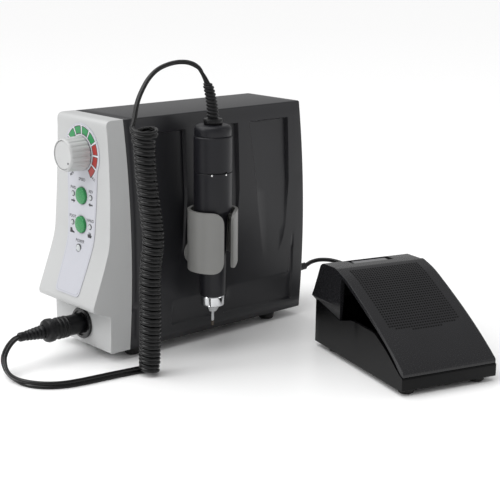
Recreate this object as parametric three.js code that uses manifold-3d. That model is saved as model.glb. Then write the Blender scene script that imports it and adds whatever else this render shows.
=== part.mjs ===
// Electric nail drill: control box with its cradle, handpiece on a curly cord, and foot pedal.
// Millimetres, +Z up. The panel of the control box faces -Y and the handpiece hangs on its +X side.
// Coordinates below are the box's own (x = 0 on its middle plane, z = 0 on the table); the last lines
// move the whole object so that its origin is the middle of its footprint, cords left out.
import * as THREE from "three";
import { mergeVertices } from "three/addons/utils/BufferGeometryUtils.js";
import Module from "manifold-3d";

const wasm = await Module();
wasm.setup();

// ---------------------------------------------------------------- driving dimensions
const GAP = 0.3; // between touching pieces
const WALL = 2.4; // moulded housings

const BOX = { base: 7.2, top: 170, halfBase: 33.9, halfTop: 29.4, crown: 35.9, seam: -82.4, rear: 83.8 };
const SEAM_BOW = 4.9; // how far the seam's control point stands behind its ends
const REAR_BOW = 5.4;
const PANEL = { face: -98.1, lip: -113.4, block: -99 }; // y of the panel, the chin's lip and the plug block
const DIAL = { z: 144.6, radius: 21 };
const BUTTONS = { upper: 114.7, lower: 94.2, radius: 5.9, travel: 1.2, stem: 2.6 };
const LAMPS = { x: 10.7, radius: 1.5, powerZ: 77.6, powerRadius: 2.5 };
const KNOB = { radius: 12.1, rim: 11.4, length: 15.2, cap: 10, shaft: 3 };
const PLUG = { z: 22.4, flange: 11.1, body: 7.6, tip: -133, boot: -152, bootRadius: 4.5, bootEnd: 3 };

const HAND = { x: 56, y: -25.3 }; // axis of the handpiece and its cradle
const BARREL = { radius: 13.5, cap: 13.05, top: 164.7, groove: 156.9, seam: 131.6, step: 103.8 };
const NOSE = { shoulder: 10.6, radius: 9.25, end: 42.4, collar: 8.5, collarEnd: 35.3, coneEnd: 30 };
const BIT = { radius: 1.175, tip: 19 }; // 3/32 inch shank
const CRADLE = { radius: 17.9, wall: 2.2, low: 62, high: 105, slot: 13.6, corner: 9, bossZ: 69.8, boss: 8.7 };

const PEDAL = { x: 95.9, y: 39.9, turn: -16, length: 117, width: 75.3, base: 3.5 };
const HOOD = { skirt: 2.5, end: 33, shoulder: 44.5, wall: 2.1 };
const PIN = { s: 107, z: 9.6, radius: 1.5, bore: 1.85 };

const CORD = 5; // width of the handpiece cord
const LEAD = 3.5; // pedal lead
const CURL = { x: 68.1, y: -91.9, radius: 7.5, top: 167.5 };
const COIL = { x: 82, y: 125, inner: 10, outer: 28.4, height: 7.4 };

// ---------------------------------------------------------------- solids
function toManifold(geometry) {
  const bare = (geometry.index ? geometry.toNonIndexed() : geometry).clone();
  bare.deleteAttribute("normal");
  bare.deleteAttribute("uv");
  const merged = mergeVertices(bare, 1e-4);
  return new wasm.Manifold(
    new wasm.Mesh({
      numProp: 3,
      vertProperties: merged.attributes.position.array,
      triVerts: new Uint32Array(merged.index.array),
    }),
  );
}

function toGeometry(manifold) {
  const mesh = manifold.getMesh();
  const geometry = new THREE.BufferGeometry();
  geometry.setAttribute("position", new THREE.BufferAttribute(new Float32Array(mesh.vertProperties), 3));
  geometry.setIndex(new THREE.BufferAttribute(new Uint32Array(mesh.triVerts), 1));
  return geometry;
}

const join = (first, ...rest) =>
  toGeometry(rest.reduce((solid, next) => solid.add(toManifold(next)), toManifold(first)));
const cut = (first, ...rest) =>
  toGeometry(rest.reduce((solid, next) => solid.subtract(toManifold(next)), toManifold(first)));
const common = (first, ...rest) =>
  toGeometry(rest.reduce((solid, next) => solid.intersect(toManifold(next)), toManifold(first)));

// An outline of corners [u, v, radius]; a corner with a radius is rounded, as far as its sides are long.
function outline(corners) {
  const shape = new THREE.Shape();
  corners.forEach(([u, v, wanted = 0], i) => {
    const here = new THREE.Vector2(u, v);
    const before = new THREE.Vector2(...corners.at(i - 1).slice(0, 2)).sub(here);
    const after = new THREE.Vector2(...corners[(i + 1) % corners.length].slice(0, 2)).sub(here);
    const radius = Math.min(wanted, before.length() * 0.45, after.length() * 0.45);
    const start = here.clone().add(before.setLength(radius));
    const end = here.clone().add(after.setLength(radius));
    if (i === 0) shape.moveTo(start.x, start.y);
    else shape.lineTo(start.x, start.y);
    if (radius > 0) shape.quadraticCurveTo(u, v, end.x, end.y);
  });
  shape.closePath();
  return shape;
}

const ring = (u, v, width, height, radius = 0) =>
  outline([
    [u - width / 2, v - height / 2, radius],
    [u + width / 2, v - height / 2, radius],
    [u + width / 2, v + height / 2, radius],
    [u - width / 2, v + height / 2, radius],
  ]);

// Extrusions of an outline along an axis, from one coordinate to the other.
function extrude(shape, from, to, basis, curveSegments) {
  const geometry = new THREE.ExtrudeGeometry(shape, { depth: to - from, bevelEnabled: false, curveSegments });
  geometry.translate(0, 0, from);
  return geometry.applyMatrix4(basis);
}
const X = new THREE.Vector3(1, 0, 0);
const Y = new THREE.Vector3(0, 1, 0);
const Z = new THREE.Vector3(0, 0, 1);
// outline in (y, z), along x
const alongX = (shape, from, to, segments = 6) =>
  extrude(shape, from, to, new THREE.Matrix4().makeBasis(Y, Z, X), segments);
// outline in (x, z), along y
const alongY = (shape, from, to, segments = 6) =>
  extrude(shape, -to, -from, new THREE.Matrix4().makeBasis(X, Z, Y.clone().negate()), segments);
// outline in (x, y), along z
const alongZ = (shape, from, to, segments = 6) => extrude(shape, from, to, new THREE.Matrix4(), segments);

// A body turned from corners [radius, height], listed from its low end on the axis to its high end.
function turned(corners, segments = 24) {
  return new THREE.LatheGeometry(corners.map(([r, h]) => new THREE.Vector2(r, h)), segments);
}
// the same, closed on itself: a hollow ring or sleeve
const turnedRing = (corners, segments = 24) => turned([...corners, corners[0]], segments);
const standing = (geometry, x = 0, y = 0) => geometry.rotateX(Math.PI / 2).translate(x, y, 0);
// a turned body whose heights run towards -Y, its axis at (x, z) in the panel
const facing = (geometry, x, z, y = 0) => geometry.rotateX(Math.PI).translate(x, y, z);
const rod = (radius, from, to, segments = 20) => turned([[0, from], [radius, from], [radius, to], [0, to]], segments);

// A cord: a round section drawn along points.
function cord(points, width, sides, steps) {
  const path = new THREE.CatmullRomCurve3(points.map((p) => new THREE.Vector3(...p)), false, "centripetal");
  const section = new THREE.Shape();
  for (let i = 0; i < sides; i++) {
    const turn = (2 * Math.PI * i) / sides;
    const [u, v] = [(Math.cos(turn) * width) / 2, (Math.sin(turn) * width) / 2];
    if (i === 0) section.moveTo(u, v);
    else section.lineTo(u, v);
  }
  section.closePath();
  return new THREE.ExtrudeGeometry(section, { steps, extrudePath: path, curveSegments: 1 });
}

// ---------------------------------------------------------------- materials
const finish = (color, roughness, metalness = 0) => new THREE.MeshStandardMaterial({ color, roughness, metalness });
const MATERIAL = {
  housing: finish(0xcacbca, 0.5),
  overlay: finish(0xcdced6, 0.4),
  knob: finish(0xcfcfce, 0.45),
  green: finish(0x3f9b57, 0.4),
  lamp: finish(0xb9bcbc, 0.2),
  caseBlack: finish(0x2e2e31, 0.45),
  rubber: finish(0x19191a, 0.8),
  cradle: finish(0x8b8b89, 0.4),
  handpiece: finish(0x2b2b2f, 0.55),
  cable: finish(0x1b1b1c, 0.55),
  pedal: finish(0x1b1b1c, 0.3),
  board: finish(0x2f6b43, 0.5),
  steel: finish(0xb8babd, 0.3, 1),
  chrome: finish(0xd8dadc, 0.12, 1),
  iron: finish(0x5b5d60, 0.5, 1),
  copper: finish(0xa45a33, 0.35, 1),
  label: finish(0x9a9a9a, 0.35, 1),
};

const drill = new THREE.Group();
const corded = new Set(); // nodes of the free cords and what is on them

function add(name, geometry, material, parent = drill) {
  const mesh = new THREE.Mesh(geometry, material);
  mesh.name = name;
  parent.add(mesh);
  return mesh;
}

// ---------------------------------------------------------------- control box outlines
// Front view: sides crowned, narrower at the top. inset moves every wall inwards.
function boxFront(inset, topRadius) {
  const shape = new THREE.Shape();
  const [low, high] = [BOX.base + inset, BOX.top - inset];
  const [base, top, crown] = [BOX.halfBase - inset, BOX.halfTop - inset, BOX.crown - inset];
  const middle = (low + high) / 2;
  shape.moveTo(-base, low);
  shape.lineTo(base, low);
  shape.quadraticCurveTo(crown, middle, top, high - topRadius);
  shape.quadraticCurveTo(top, high, top - topRadius, high);
  shape.lineTo(-top + topRadius, high);
  shape.quadraticCurveTo(-top, high, -top, high - topRadius);
  shape.quadraticCurveTo(-crown, middle, -base, low);
  return shape;
}

// Side view of the case shell, between the bowed seam and the bowed rear.
function caseSide(inset, open) {
  const shape = new THREE.Shape();
  const middle = (BOX.base + BOX.top) / 2;
  const low = open ? BOX.base - 5 : BOX.base;
  const high = BOX.top - inset;
  const front = open ? BOX.seam - 20 : BOX.seam;
  shape.moveTo(front, low);
  shape.lineTo(BOX.rear - inset, low);
  shape.quadraticCurveTo(BOX.rear - inset + REAR_BOW, middle, BOX.rear - inset, high);
  shape.lineTo(front, high);
  if (!open) shape.quadraticCurveTo(front + SEAM_BOW, middle, front, low);
  return shape;
}

// Side view of the front housing: [y, z, radius, inward y, inward z].
const HOUSING_SIDE = [
  [PANEL.block, BOX.base, 1, 1, 1],
  [PANEL.block, 34.2, 0.6, 1, 1],
  [PANEL.lip + 0.8, 39, 1, 1, 1],
  [PANEL.lip, 42.2, 1.2, 1, 0.4],
  [-103.4, 70.5, 12, 1, 0],
  [PANEL.face - 1.3, 88, 8, 1, 0],
  [PANEL.face, 120, 8, 1, 0],
  [-97.7, 162, 2, 1, 0],
  [-97.9, BOX.top, 6, 1, -1],
];
function housingSide(inset, seamReach) {
  const seam = BOX.seam - GAP + seamReach;
  const shape = outline([
    ...HOUSING_SIDE.map(([y, z, r, dy, dz]) => [y + dy * inset, z + dz * inset, r]),
    [seam, BOX.top - inset],
    [seam, BOX.base + inset],
  ]);
  return shape;
}
// The seam's bow, as a body to take away behind the housing.
function seamBody() {
  const shape = new THREE.Shape();
  const seam = BOX.seam - GAP;
  shape.moveTo(seam, BOX.base);
  shape.quadraticCurveTo(seam + SEAM_BOW, (BOX.base + BOX.top) / 2, seam, BOX.top);
  shape.lineTo(seam + 30, BOX.top + 5);
  shape.lineTo(seam + 30, BOX.base - 5);
  shape.lineTo(seam, BOX.base - 5);
  return alongX(shape, -50, 50, 10);
}
// y of the panel's front at a height, on the side outline
function panelAt(z) {
  const i = HOUSING_SIDE.findIndex((corner) => corner[1] > z);
  const [a, b] = [HOUSING_SIDE[i - 1], HOUSING_SIDE[i]];
  return THREE.MathUtils.mapLinear(z, a[1], b[1], a[0], b[0]);
}

// ---------------------------------------------------------------- front housing and what it carries
const panelHoles = [
  facing(rod(4.2, 60, 120), 0, DIAL.z),
  facing(rod(BUTTONS.radius + 0.4, 60, 120), 0, BUTTONS.upper),
  facing(rod(BUTTONS.radius + 0.4, 60, 120), 0, BUTTONS.lower),
  facing(rod(LAMPS.powerRadius + 0.3, 60, 120), 0, LAMPS.powerZ),
  ...[-1, 1].flatMap((side) =>
    [BUTTONS.upper, BUTTONS.lower].map((z) => facing(rod(LAMPS.radius + 0.3, 60, 120, 14), side * LAMPS.x, z)),
  ),
];

const housingOuter = common(
  alongX(housingSide(0, 6), -40, 40, 4),
  alongY(boxFront(0, 3), -130, -60, 8),
);
const housingInner = common(
  alongX(housingSide(WALL, 14), -40, 40, 3),
  alongY(boxFront(WALL, 2), -130, -60, 8),
);
add(
  "front_housing",
  cut(housingOuter, housingInner, seamBody(), ...panelHoles, facing(rod(9.6, 60, 130, 28), 0, PLUG.z)),
  MATERIAL.housing,
);

// The printed overlay: a keyhole outline, as thick as a film, on the panel's curve.
function keyhole() {
  const [low, halfLow, halfHigh] = [46.2, 14.3, 17.6];
  const meet = Math.sqrt(DIAL.radius ** 2 - halfHigh ** 2);
  const shape = new THREE.Shape();
  shape.moveTo(-halfLow + 3, low);
  shape.lineTo(halfLow - 3, low);
  shape.quadraticCurveTo(halfLow, low, halfLow + 0.1, low + 3);
  shape.lineTo(halfHigh, DIAL.z - meet);
  const start = Math.atan2(-meet, halfHigh);
  shape.absarc(0, DIAL.z, DIAL.radius, start, Math.PI - start, false);
  shape.lineTo(-halfLow - 0.1, low + 3);
  shape.quadraticCurveTo(-halfLow, low, -halfLow + 3, low);
  return shape;
}
const FILM = 0.5;
const filmOuter = alongX(housingSide(-GAP - FILM, 0), -25, 25, 4);
const filmInner = alongX(housingSide(-GAP, 10), -26, 26, 4);
add(
  "panel_overlay",
  cut(common(filmOuter, alongY(keyhole(), -130, -90, 10)), filmInner, ...panelHoles),
  MATERIAL.overlay,
);

// Two push buttons: a domed head outside, a stem and a stop collar inside.
function button(z) {
  const face = panelAt(z);
  const stem = turned(
    [
      [0, -face - 11],
      [BUTTONS.stem, -face - 11],
      [BUTTONS.stem, -face - WALL - 2.2],
      [BUTTONS.radius, -face - WALL - 2.2],
      [BUTTONS.radius, -face + 1.9],
      [BUTTONS.radius - 0.7, -face + 2.6],
      [0, -face + 2.7],
    ],
    28,
  );
  return facing(stem, 0, z);
}
add("direction_button", button(BUTTONS.upper), MATERIAL.green);
add("mode_button", button(BUTTONS.lower), MATERIAL.green);

function lamp(x, z, radius) {
  const face = panelAt(z);
  const body = turned(
    [[0, -face - 7], [radius, -face - 7], [radius, -face + 1], [radius * 0.6, -face + 1.3], [0, -face + 1.4]],
    16,
  );
  return facing(body, x, z);
}
add("lamp_forward", lamp(-LAMPS.x, BUTTONS.upper, LAMPS.radius), MATERIAL.lamp);
add("lamp_reverse", lamp(LAMPS.x, BUTTONS.upper, LAMPS.radius), MATERIAL.lamp);
add("lamp_foot", lamp(-LAMPS.x, BUTTONS.lower, LAMPS.radius), MATERIAL.lamp);
add("lamp_hand", lamp(LAMPS.x, BUTTONS.lower, LAMPS.radius), MATERIAL.lamp);
add("lamp_power", lamp(0, LAMPS.powerZ, LAMPS.powerRadius), MATERIAL.lamp);

// Speed knob: hollow behind, with a recess in front for its cap; the shaft turns in the potentiometer.
const dialFace = -panelAt(DIAL.z) + GAP + FILM;
const knobFront = dialFace + 0.6 + KNOB.length;
add(
  "speed_knob",
  facing(
    turnedRing(
      [
        [KNOB.shaft + GAP, dialFace + 3],
        [KNOB.radius - 1.6, dialFace + 3],
        [KNOB.radius - 1.4, dialFace + 0.6],
        [KNOB.radius, dialFace + 0.6],
        [KNOB.rim, knobFront - 1],
        [KNOB.rim - 0.9, knobFront],
        [KNOB.cap + GAP, knobFront],
        [KNOB.cap + GAP, knobFront - 1.8],
        [KNOB.shaft + GAP, knobFront - 1.8],
      ],
      32,
    ),
    0,
    DIAL.z,
  ),
  MATERIAL.knob,
);
add(
  "knob_cap",
  facing(
    turned([[0, knobFront - 1.4], [KNOB.cap, knobFront - 1.4], [KNOB.cap, knobFront - 0.3], [KNOB.cap - 0.5, knobFront], [0, knobFront]], 32),
    0,
    DIAL.z,
  ),
  MATERIAL.knob,
);
add("knob_shaft", facing(rod(KNOB.shaft, dialFace - 18, knobFront - 2.2), 0, DIAL.z), MATERIAL.steel);

const BOARD_Y = -83.5; // front of the control board
const potFront = dialFace - GAP - FILM - WALL - 1.2;
add(
  "speed_pot",
  facing(
    turnedRing([[KNOB.shaft + GAP, -BOARD_Y + 0.4], [8, -BOARD_Y + 0.4], [8, potFront - 3], [3.9, potFront - 3], [3.9, potFront], [KNOB.shaft + GAP, potFront]], 24),
    0,
    DIAL.z,
  ),
  MATERIAL.steel,
);
add(
  "control_board",
  cut(alongY(ring(0, 112, 46, 90, 1.5), BOARD_Y, BOARD_Y + 1.6, 2), facing(rod(4, 70, 90), 0, DIAL.z)),
  MATERIAL.board,
);

// Handpiece socket in the plug block: a flanged sleeve that the plug's nose enters.
const blockFace = -PANEL.block;
add(
  "handpiece_socket",
  facing(
    turnedRing(
      [[6.2, blockFace - 16], [9.2, blockFace - 16], [9.2, blockFace + GAP], [PLUG.flange, blockFace + GAP], [PLUG.flange, blockFace + 2], [PLUG.flange - 1, blockFace + 2.6], [PLUG.body + 0.6, blockFace + 2.6], [PLUG.body + 0.6, blockFace + 1], [6.2, blockFace + 1]],
      32,
    ),
    0,
    PLUG.z,
  ),
  MATERIAL.cable,
);

// ---------------------------------------------------------------- case shell and the inside of the box
const REAR = { inletX: -13, inletZ: 132, switchX: 14, switchZ: 132, fuseX: -13, fuseZ: 103, socketZ: 26 };
const rearHoles = [
  alongY(ring(REAR.inletX, REAR.inletZ, 24.6, 17.6, 1), 60, 100),
  alongY(ring(REAR.switchX, REAR.switchZ, 14.6, 20.6, 0.6), 60, 100),
  facing(rod(6.3, -100, -60), REAR.fuseX, REAR.fuseZ),
  facing(rod(5.3, -100, -60), 0, REAR.socketZ),
];
add(
  "case_shell",
  cut(
    common(alongX(caseSide(0, false), -50, 50, 10), alongY(boxFront(0, 1.2), -95, 95, 8)),
    common(alongX(caseSide(WALL, true), -50, 50, 8), alongY(boxFront(WALL, 1), -110, 95, 8)),
    alongY(ring(0, BOX.base + 2, 2 * (BOX.halfBase - WALL), 9), -95, BOX.rear - WALL),
    ...rearHoles,
  ),
  MATERIAL.caseBlack,
);
add("base_plate", alongZ(ring(0, -0.5, 2 * (BOX.halfBase - WALL - 0.5), 160, 2), BOX.base + 0.9, BOX.base + 3.1, 2), MATERIAL.caseBlack);

const FEET = { x: 24, front: -73.5, rear: 57 };
[[-1, FEET.front], [1, FEET.front], [-1, FEET.rear], [1, FEET.rear]].forEach(([side, y], i) => {
  const foot = turned([[0, 0], [4.2, 0], [5.4, 1.2], [6.2, BOX.base - 0.4], [6.2, BOX.base + 0.6], [0, BOX.base + 0.6]], 20);
  add("box_foot_" + (i + 1), standing(foot, side * FEET.x, y), MATERIAL.rubber);
});

const TRANSFORMER = { y: 15, z: 34, width: 50, height: 44, depth: 17, leg: 14, window: 9 };
{
  const { y, z, width, height, depth, leg, window } = TRANSFORMER;
  const windows = [-1, 1].map((side) =>
    alongY(ring((side * (leg + window)) / 2, z, window, height - leg), y - 20, y + 20),
  );
  add("transformer_core", cut(alongY(ring(0, z, width, height), y - depth / 2, y + depth / 2), ...windows), MATERIAL.iron);
  const bobbin = alongZ(ring(0, y, leg + 2 * window - 2 * GAP, depth + 16, 2), z - height / 2 + 7.4, z + height / 2 - 7.4, 3);
  const core = alongZ(ring(0, y, leg + 2 * GAP, depth + 2 * GAP), 0, 100);
  add("transformer_winding", cut(bobbin, core), MATERIAL.copper);
}

const rearFace = BOX.rear + REAR_BOW / 2;
add(
  "mains_inlet",
  cut(
    join(
      alongY(ring(REAR.inletX, REAR.inletZ, 24, 17, 1), rearFace - 16, rearFace + 0.8),
      alongY(ring(REAR.inletX, REAR.inletZ, 28, 21, 2), rearFace + 0.5, rearFace + 2.2),
    ),
    alongY(ring(REAR.inletX, REAR.inletZ, 20, 13, 1.5), rearFace - 13, rearFace + 5),
  ),
  MATERIAL.caseBlack,
);
add(
  "switch_frame",
  cut(
    join(
      alongY(ring(REAR.switchX, REAR.switchZ, 14, 20, 0.5), rearFace - 12, rearFace + 0.8),
      alongY(ring(REAR.switchX, REAR.switchZ, 17, 23, 1), rearFace + 0.5, rearFace + 2),
    ),
    alongY(ring(REAR.switchX, REAR.switchZ, 10.6, 16.6, 0.3), rearFace - 9, rearFace + 5),
  ),
  MATERIAL.caseBlack,
);
const ROCKER = { y: rearFace - 1.6, throw: 18 }; // pivot line, degrees from one side to the other
const rockerShape = outline([
  [ROCKER.y - 3, REAR.switchZ - 5],
  [ROCKER.y - 3, REAR.switchZ + 5],
  [ROCKER.y + 3.2, REAR.switchZ + 7],
  [ROCKER.y + 2.7, REAR.switchZ, 2],
  [ROCKER.y + 3.2, REAR.switchZ - 7],
]);
add(
  "power_rocker",
  alongX(rockerShape, REAR.switchX - 5, REAR.switchX + 5)
    .translate(0, -ROCKER.y, -REAR.switchZ)
    .rotateX(THREE.MathUtils.degToRad(ROCKER.throw / 2))
    .translate(0, ROCKER.y, REAR.switchZ),
  MATERIAL.caseBlack,
);
add(
  "fuse_cap",
  facing(turned([[0, -rearFace - 4], [6, -rearFace - 4], [7.2, -rearFace - 2.6], [7.2, -rearFace - 0.6], [6, -rearFace - 0.6], [6, -rearFace + 14], [0, -rearFace + 14]], 24), REAR.fuseX, REAR.fuseZ),
  MATERIAL.caseBlack,
);

// ---------------------------------------------------------------- cradle
const LEDGE = { radius: 11.4, z: 100 }; // the handpiece's shoulder rests on it
// A split tube standing on a round boss; the slot looks away from the box and its corners are rounded.
{
  const { radius, wall, low, high, slot, corner, bossZ, boss } = CRADLE;
  const tube = standing(turnedRing([[radius - wall, low], [radius, low], [radius, high], [radius - wall, high]], 48), HAND.x, HAND.y);
  const half = Math.sin(THREE.MathUtils.degToRad(slot)) * radius;
  const flare = (end, inwards) => {
    const shape = new THREE.Shape();
    const edge = HAND.y;
    shape.moveTo(edge - half - corner, end);
    shape.quadraticCurveTo(edge - half, end, edge - half, end + inwards * corner);
    shape.lineTo(edge + half, end + inwards * corner);
    shape.quadraticCurveTo(edge + half, end, edge + half + corner, end);
    shape.lineTo(edge + half + corner, end - inwards * 5);
    shape.lineTo(edge - half - corner, end - inwards * 5);
    return alongX(shape, HAND.x, HAND.x + 30, 6);
  };
  const sideX = 34.3 + GAP;
  const ledge = standing(
    turnedRing([[LEDGE.radius, LEDGE.z - 2], [radius - 0.8, LEDGE.z - 2], [radius - 0.8, LEDGE.z], [LEDGE.radius, LEDGE.z]], 48),
    HAND.x,
    HAND.y,
  );
  const stem = alongX(new THREE.Shape().absarc(HAND.y, bossZ, boss, 0, 2 * Math.PI), sideX, HAND.x - 10, 10);
  add(
    "cradle",
    cut(
      join(tube, ledge, cut(stem, standing(rod(radius - wall, low - 10, high + 10, 48), HAND.x, HAND.y))),
      alongX(ring(HAND.y, (low + high) / 2, 2 * half, high - low + 10), HAND.x, HAND.x + 30),
      flare(low, 1),
      flare(high, -1),
    ),
    MATERIAL.cradle,
  );
}

// ---------------------------------------------------------------- handpiece
const hand = (name, geometry, material) => add(name, standing(geometry, HAND.x, HAND.y), material);

hand(
  "rear_cap",
  turnedRing(
    [[4.6, BARREL.groove + GAP], [BARREL.cap, BARREL.groove + GAP], [BARREL.cap, BARREL.top - 3.6], [BARREL.cap - 1.1, BARREL.top - 1.1], [BARREL.cap - 3.6, BARREL.top], [4.6, BARREL.top]],
    28,
  ),
  MATERIAL.handpiece,
);
hand(
  "rear_barrel",
  turnedRing(
    [[BARREL.radius - 1.8, BARREL.seam + GAP], [BARREL.radius, BARREL.seam + GAP], [BARREL.radius, BARREL.groove], [BARREL.radius - 1.8, BARREL.groove]],
    28,
  ),
  MATERIAL.handpiece,
);
hand(
  "front_sleeve",
  turnedRing(
    [
      [7, NOSE.end],
      [NOSE.radius, NOSE.end],
      [NOSE.radius + 0.4, 78],
      [NOSE.shoulder, BARREL.step - 4],
      [BARREL.radius, BARREL.step],
      [BARREL.radius, BARREL.seam],
      [BARREL.radius - 1.8, BARREL.seam],
      [BARREL.radius - 1.8, BARREL.step + 2],
      [8.2, BARREL.step - 4],
      [7, 76],
    ],
    28,
  ),
  MATERIAL.handpiece,
);
hand(
  "nose_collar",
  turnedRing(
    [
      [2.2, NOSE.coneEnd],
      [3.1, NOSE.coneEnd],
      [5.6, NOSE.collarEnd - 1],
      [NOSE.collar - 0.9, NOSE.collarEnd - 0.6],
      [NOSE.collar, NOSE.collarEnd + 0.4],
      [NOSE.collar, NOSE.end - GAP],
      [6.7, NOSE.end - GAP],
      [6.7, 56],
      [5.2, 56],
      [5.2, NOSE.collarEnd + 2],
      [2.2, NOSE.coneEnd + 2.4],
    ],
    24,
  ),
  MATERIAL.chrome,
);
hand("nail_bit", turned([[0, BIT.tip], [0.7, BIT.tip], [BIT.radius, BIT.tip + 1.4], [BIT.radius, 58], [0, 58]], 16), MATERIAL.steel);
hand(
  "spindle",
  turned(
    [[0, 58.4], [BIT.radius + GAP, 58.4], [BIT.radius + GAP, NOSE.coneEnd + 1.2], [1.9, NOSE.coneEnd + 1.2], [3.6, NOSE.collarEnd + 4.4], [3.6, 97], [2.5, 97], [2.5, 108], [0, 108]],
    20,
  ),
  MATERIAL.steel,
);
[["front_bearing", 60, 66], ["rear_bearing", 88, 94]].forEach(([name, low, high]) =>
  hand(name, turnedRing([[3.6 + GAP, low], [6.7, low], [6.7, high], [3.6 + GAP, high]], 24), MATERIAL.steel),
);
hand(
  "motor_can",
  turnedRing(
    [[3.2, 110.6], [BARREL.radius - 2.4, 110.6], [BARREL.radius - 2.4, 154], [3.2, 154], [3.2, 151.5], [9.6, 151.5], [9.6, 113], [3.2, 113]],
    28,
  ),
  MATERIAL.iron,
);
hand("motor_rotor", turned([[0, 108.4], [2.2, 108.4], [2.2, 116], [8.6, 116], [8.6, 148], [2.2, 148], [2.2, 155], [0, 155]], 24), MATERIAL.copper);

// Ribbed boot of the cord, with a flange in the cap's top; it leans towards the curly cord.
const BOOT = { flange: 6.6, low: 4.3, high: 3.7, tip: 193, ribs: 9, from: 169.6 };
{
  const profile = [[0, BARREL.top - 4], [4.2, BARREL.top - 4], [4.2, BARREL.top + GAP], [BOOT.flange, BARREL.top + GAP], [BOOT.flange, 168.6], [BOOT.low - 0.8, BOOT.from]];
  const pitch = (BOOT.tip - 1 - BOOT.from) / BOOT.ribs;
  for (let i = 0; i < BOOT.ribs; i++) {
    const radius = THREE.MathUtils.lerp(BOOT.low, BOOT.high, i / BOOT.ribs);
    const z = BOOT.from + i * pitch;
    profile.push([radius, z + 0.35 * pitch], [radius, z + 0.75 * pitch], [radius - 0.8, z + pitch]);
  }
  profile.push([0, BOOT.tip - 0.6]);
  hand("handpiece_boot", turned(profile, 12), MATERIAL.cable);
}

// ---------------------------------------------------------------- handpiece cord
// Plug on the box, straight run on the table, curly part standing beside the box, arch to the handpiece.
add(
  "plug_shell",
  facing(
    turned(
      [
        [0, blockFace - 9],
        [5.8, blockFace - 9],
        [5.8, blockFace + 1.4],
        [PLUG.body - 0.4, blockFace + 1.4],
        [PLUG.body, blockFace + 8],
        [PLUG.body + 0.6, -PLUG.tip - 6],
        [PLUG.body + 0.8, -PLUG.tip - 2.5],
        [5.4, -PLUG.tip],
        [0, -PLUG.tip],
      ],
      28,
    ),
    0,
    PLUG.z,
  ),
  MATERIAL.cable,
);
add(
  "plug_boot",
  facing(turned([[0, -PLUG.tip + GAP], [PLUG.bootRadius, -PLUG.tip + GAP], [PLUG.bootEnd, -PLUG.boot], [0, -PLUG.boot]], 16), 0, PLUG.z),
  MATERIAL.cable,
);
const FLOOR_ROUTE = [
  [0, PLUG.boot - 0.9, PLUG.z],
  [-0.1, PLUG.boot - 3, PLUG.z - 0.5],
  [-0.5, -158, 19.6],
  [-0.6, -161.5, 15.5],
  [1, -165, 10],
  [8.5, -167.8, 5.4],
  [19, -169.2, 3.2],
  [30.5, -168.6, 2.7],
  [39.5, -165, 2.7],
  [46.5, -159, 2.7],
  [51.9, -150.4, 2.7],
  [54.8, -139.8, 2.7],
  [56.8, -127.3, 2.7],
  [58.6, -115, 2.7],
  [60, -105, 2.8],
  [60.4, -98, 3],
];
add("cord_floor", cord(FLOOR_ROUTE, CORD, 10, 40), MATERIAL.cable);
const CURL_ROUTE = [
  [CURL.x, CURL.y, 0],
  [CURL.x + 0.3, CURL.y + 0.3, 12.5],
  [CURL.x + 0.9, CURL.y + 0.9, 40],
  [CURL.x + 0.9, CURL.y + 0.9, 66],
  [CURL.x + 2.4, CURL.y + 2.6, 92],
  [CURL.x + 2.4, CURL.y + 2.6, 100],
  [CURL.x + 0.7, CURL.y + 0.7, 123.5],
  [CURL.x - 0.9, CURL.y - 1, 146.5],
  [CURL.x - 0.9, CURL.y - 1.1, CURL.top],
];
add("cord_curl", cord(CURL_ROUTE, 2 * CURL.radius, 12, 22), MATERIAL.cable);
const ARCH_ROUTE = [
  [63.2, -98.6, CURL.top + 3.2],
  [60.2, -96.3, 176.5],
  [57.2, -92, 183],
  [52, -82.3, 193.2],
  [47.2, -69.8, 202],
  [45.5, -58.1, 206.3],
  [46, -45.3, 207.8],
  [48.4, -35.5, 205.5],
  [51.4, -29.6, 200.6],
  [54, -26.5, 197.2],
  [HAND.x, HAND.y, BOOT.tip + GAP],
];
add("cord_arch", cord(ARCH_ROUTE, CORD, 10, 24), MATERIAL.cable);

// ---------------------------------------------------------------- foot pedal
// Its own frame: x from the high rear to the low front, y across, z up.
const pedal = new THREE.Group();
pedal.position.set(PEDAL.x, PEDAL.y, 0);
pedal.rotation.z = THREE.MathUtils.degToRad(PEDAL.turn);
drill.add(pedal);

const W = PEDAL.width;
const L = PEDAL.length;
const pedalSide = [[0, PEDAL.base], [L, PEDAL.base], [L, 13.2, 1], [112, 14.6, 1], [95.5, 26.6, 5], [80, 33.6, 3], [53, 33.6, 3], [HOOD.end, 29.5, 2], [0, 37]];
const alongW = (corners, from, to, segments = 4) => alongY(outline(corners), from, to, segments);
// a turned body across the pedal, its heights running along y
const across = (geometry, s, z) => geometry.translate(s, 0, z);
const bossAt = (from, to) => across(rod(4.4, from, to, 18), PIN.s, PIN.z);
{
  const tub = common(alongW(pedalSide, 0, W), alongZ(ring(L / 2, W / 2, L, W, 4), 0, 60, 4));
  const inside = alongZ(ring(L / 2, W / 2, L - 4.4, W - 4.4, 2.4), 0, 60, 3);
  const bosses = [bossAt(1.5, 8), bossAt(W - 8, W - 1.5)];
  const bore = across(rod(PIN.bore, 2.2, W - 2.2, 16), PIN.s, PIN.z);
  const entry = alongX(new THREE.Shape().absarc(55, 14, 3.1, 0, 2 * Math.PI), -5, 8, 8);
  add("pedal_base", cut(join(cut(tub, inside), ...bosses), bore, entry), MATERIAL.pedal, pedal);
}
add("pedal_bottom", alongZ(ring(L / 2, W / 2, L - 5, W - 5, 2), PEDAL.base + 0.3, PEDAL.base + 1.6, 3), MATERIAL.pedal, pedal);
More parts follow.
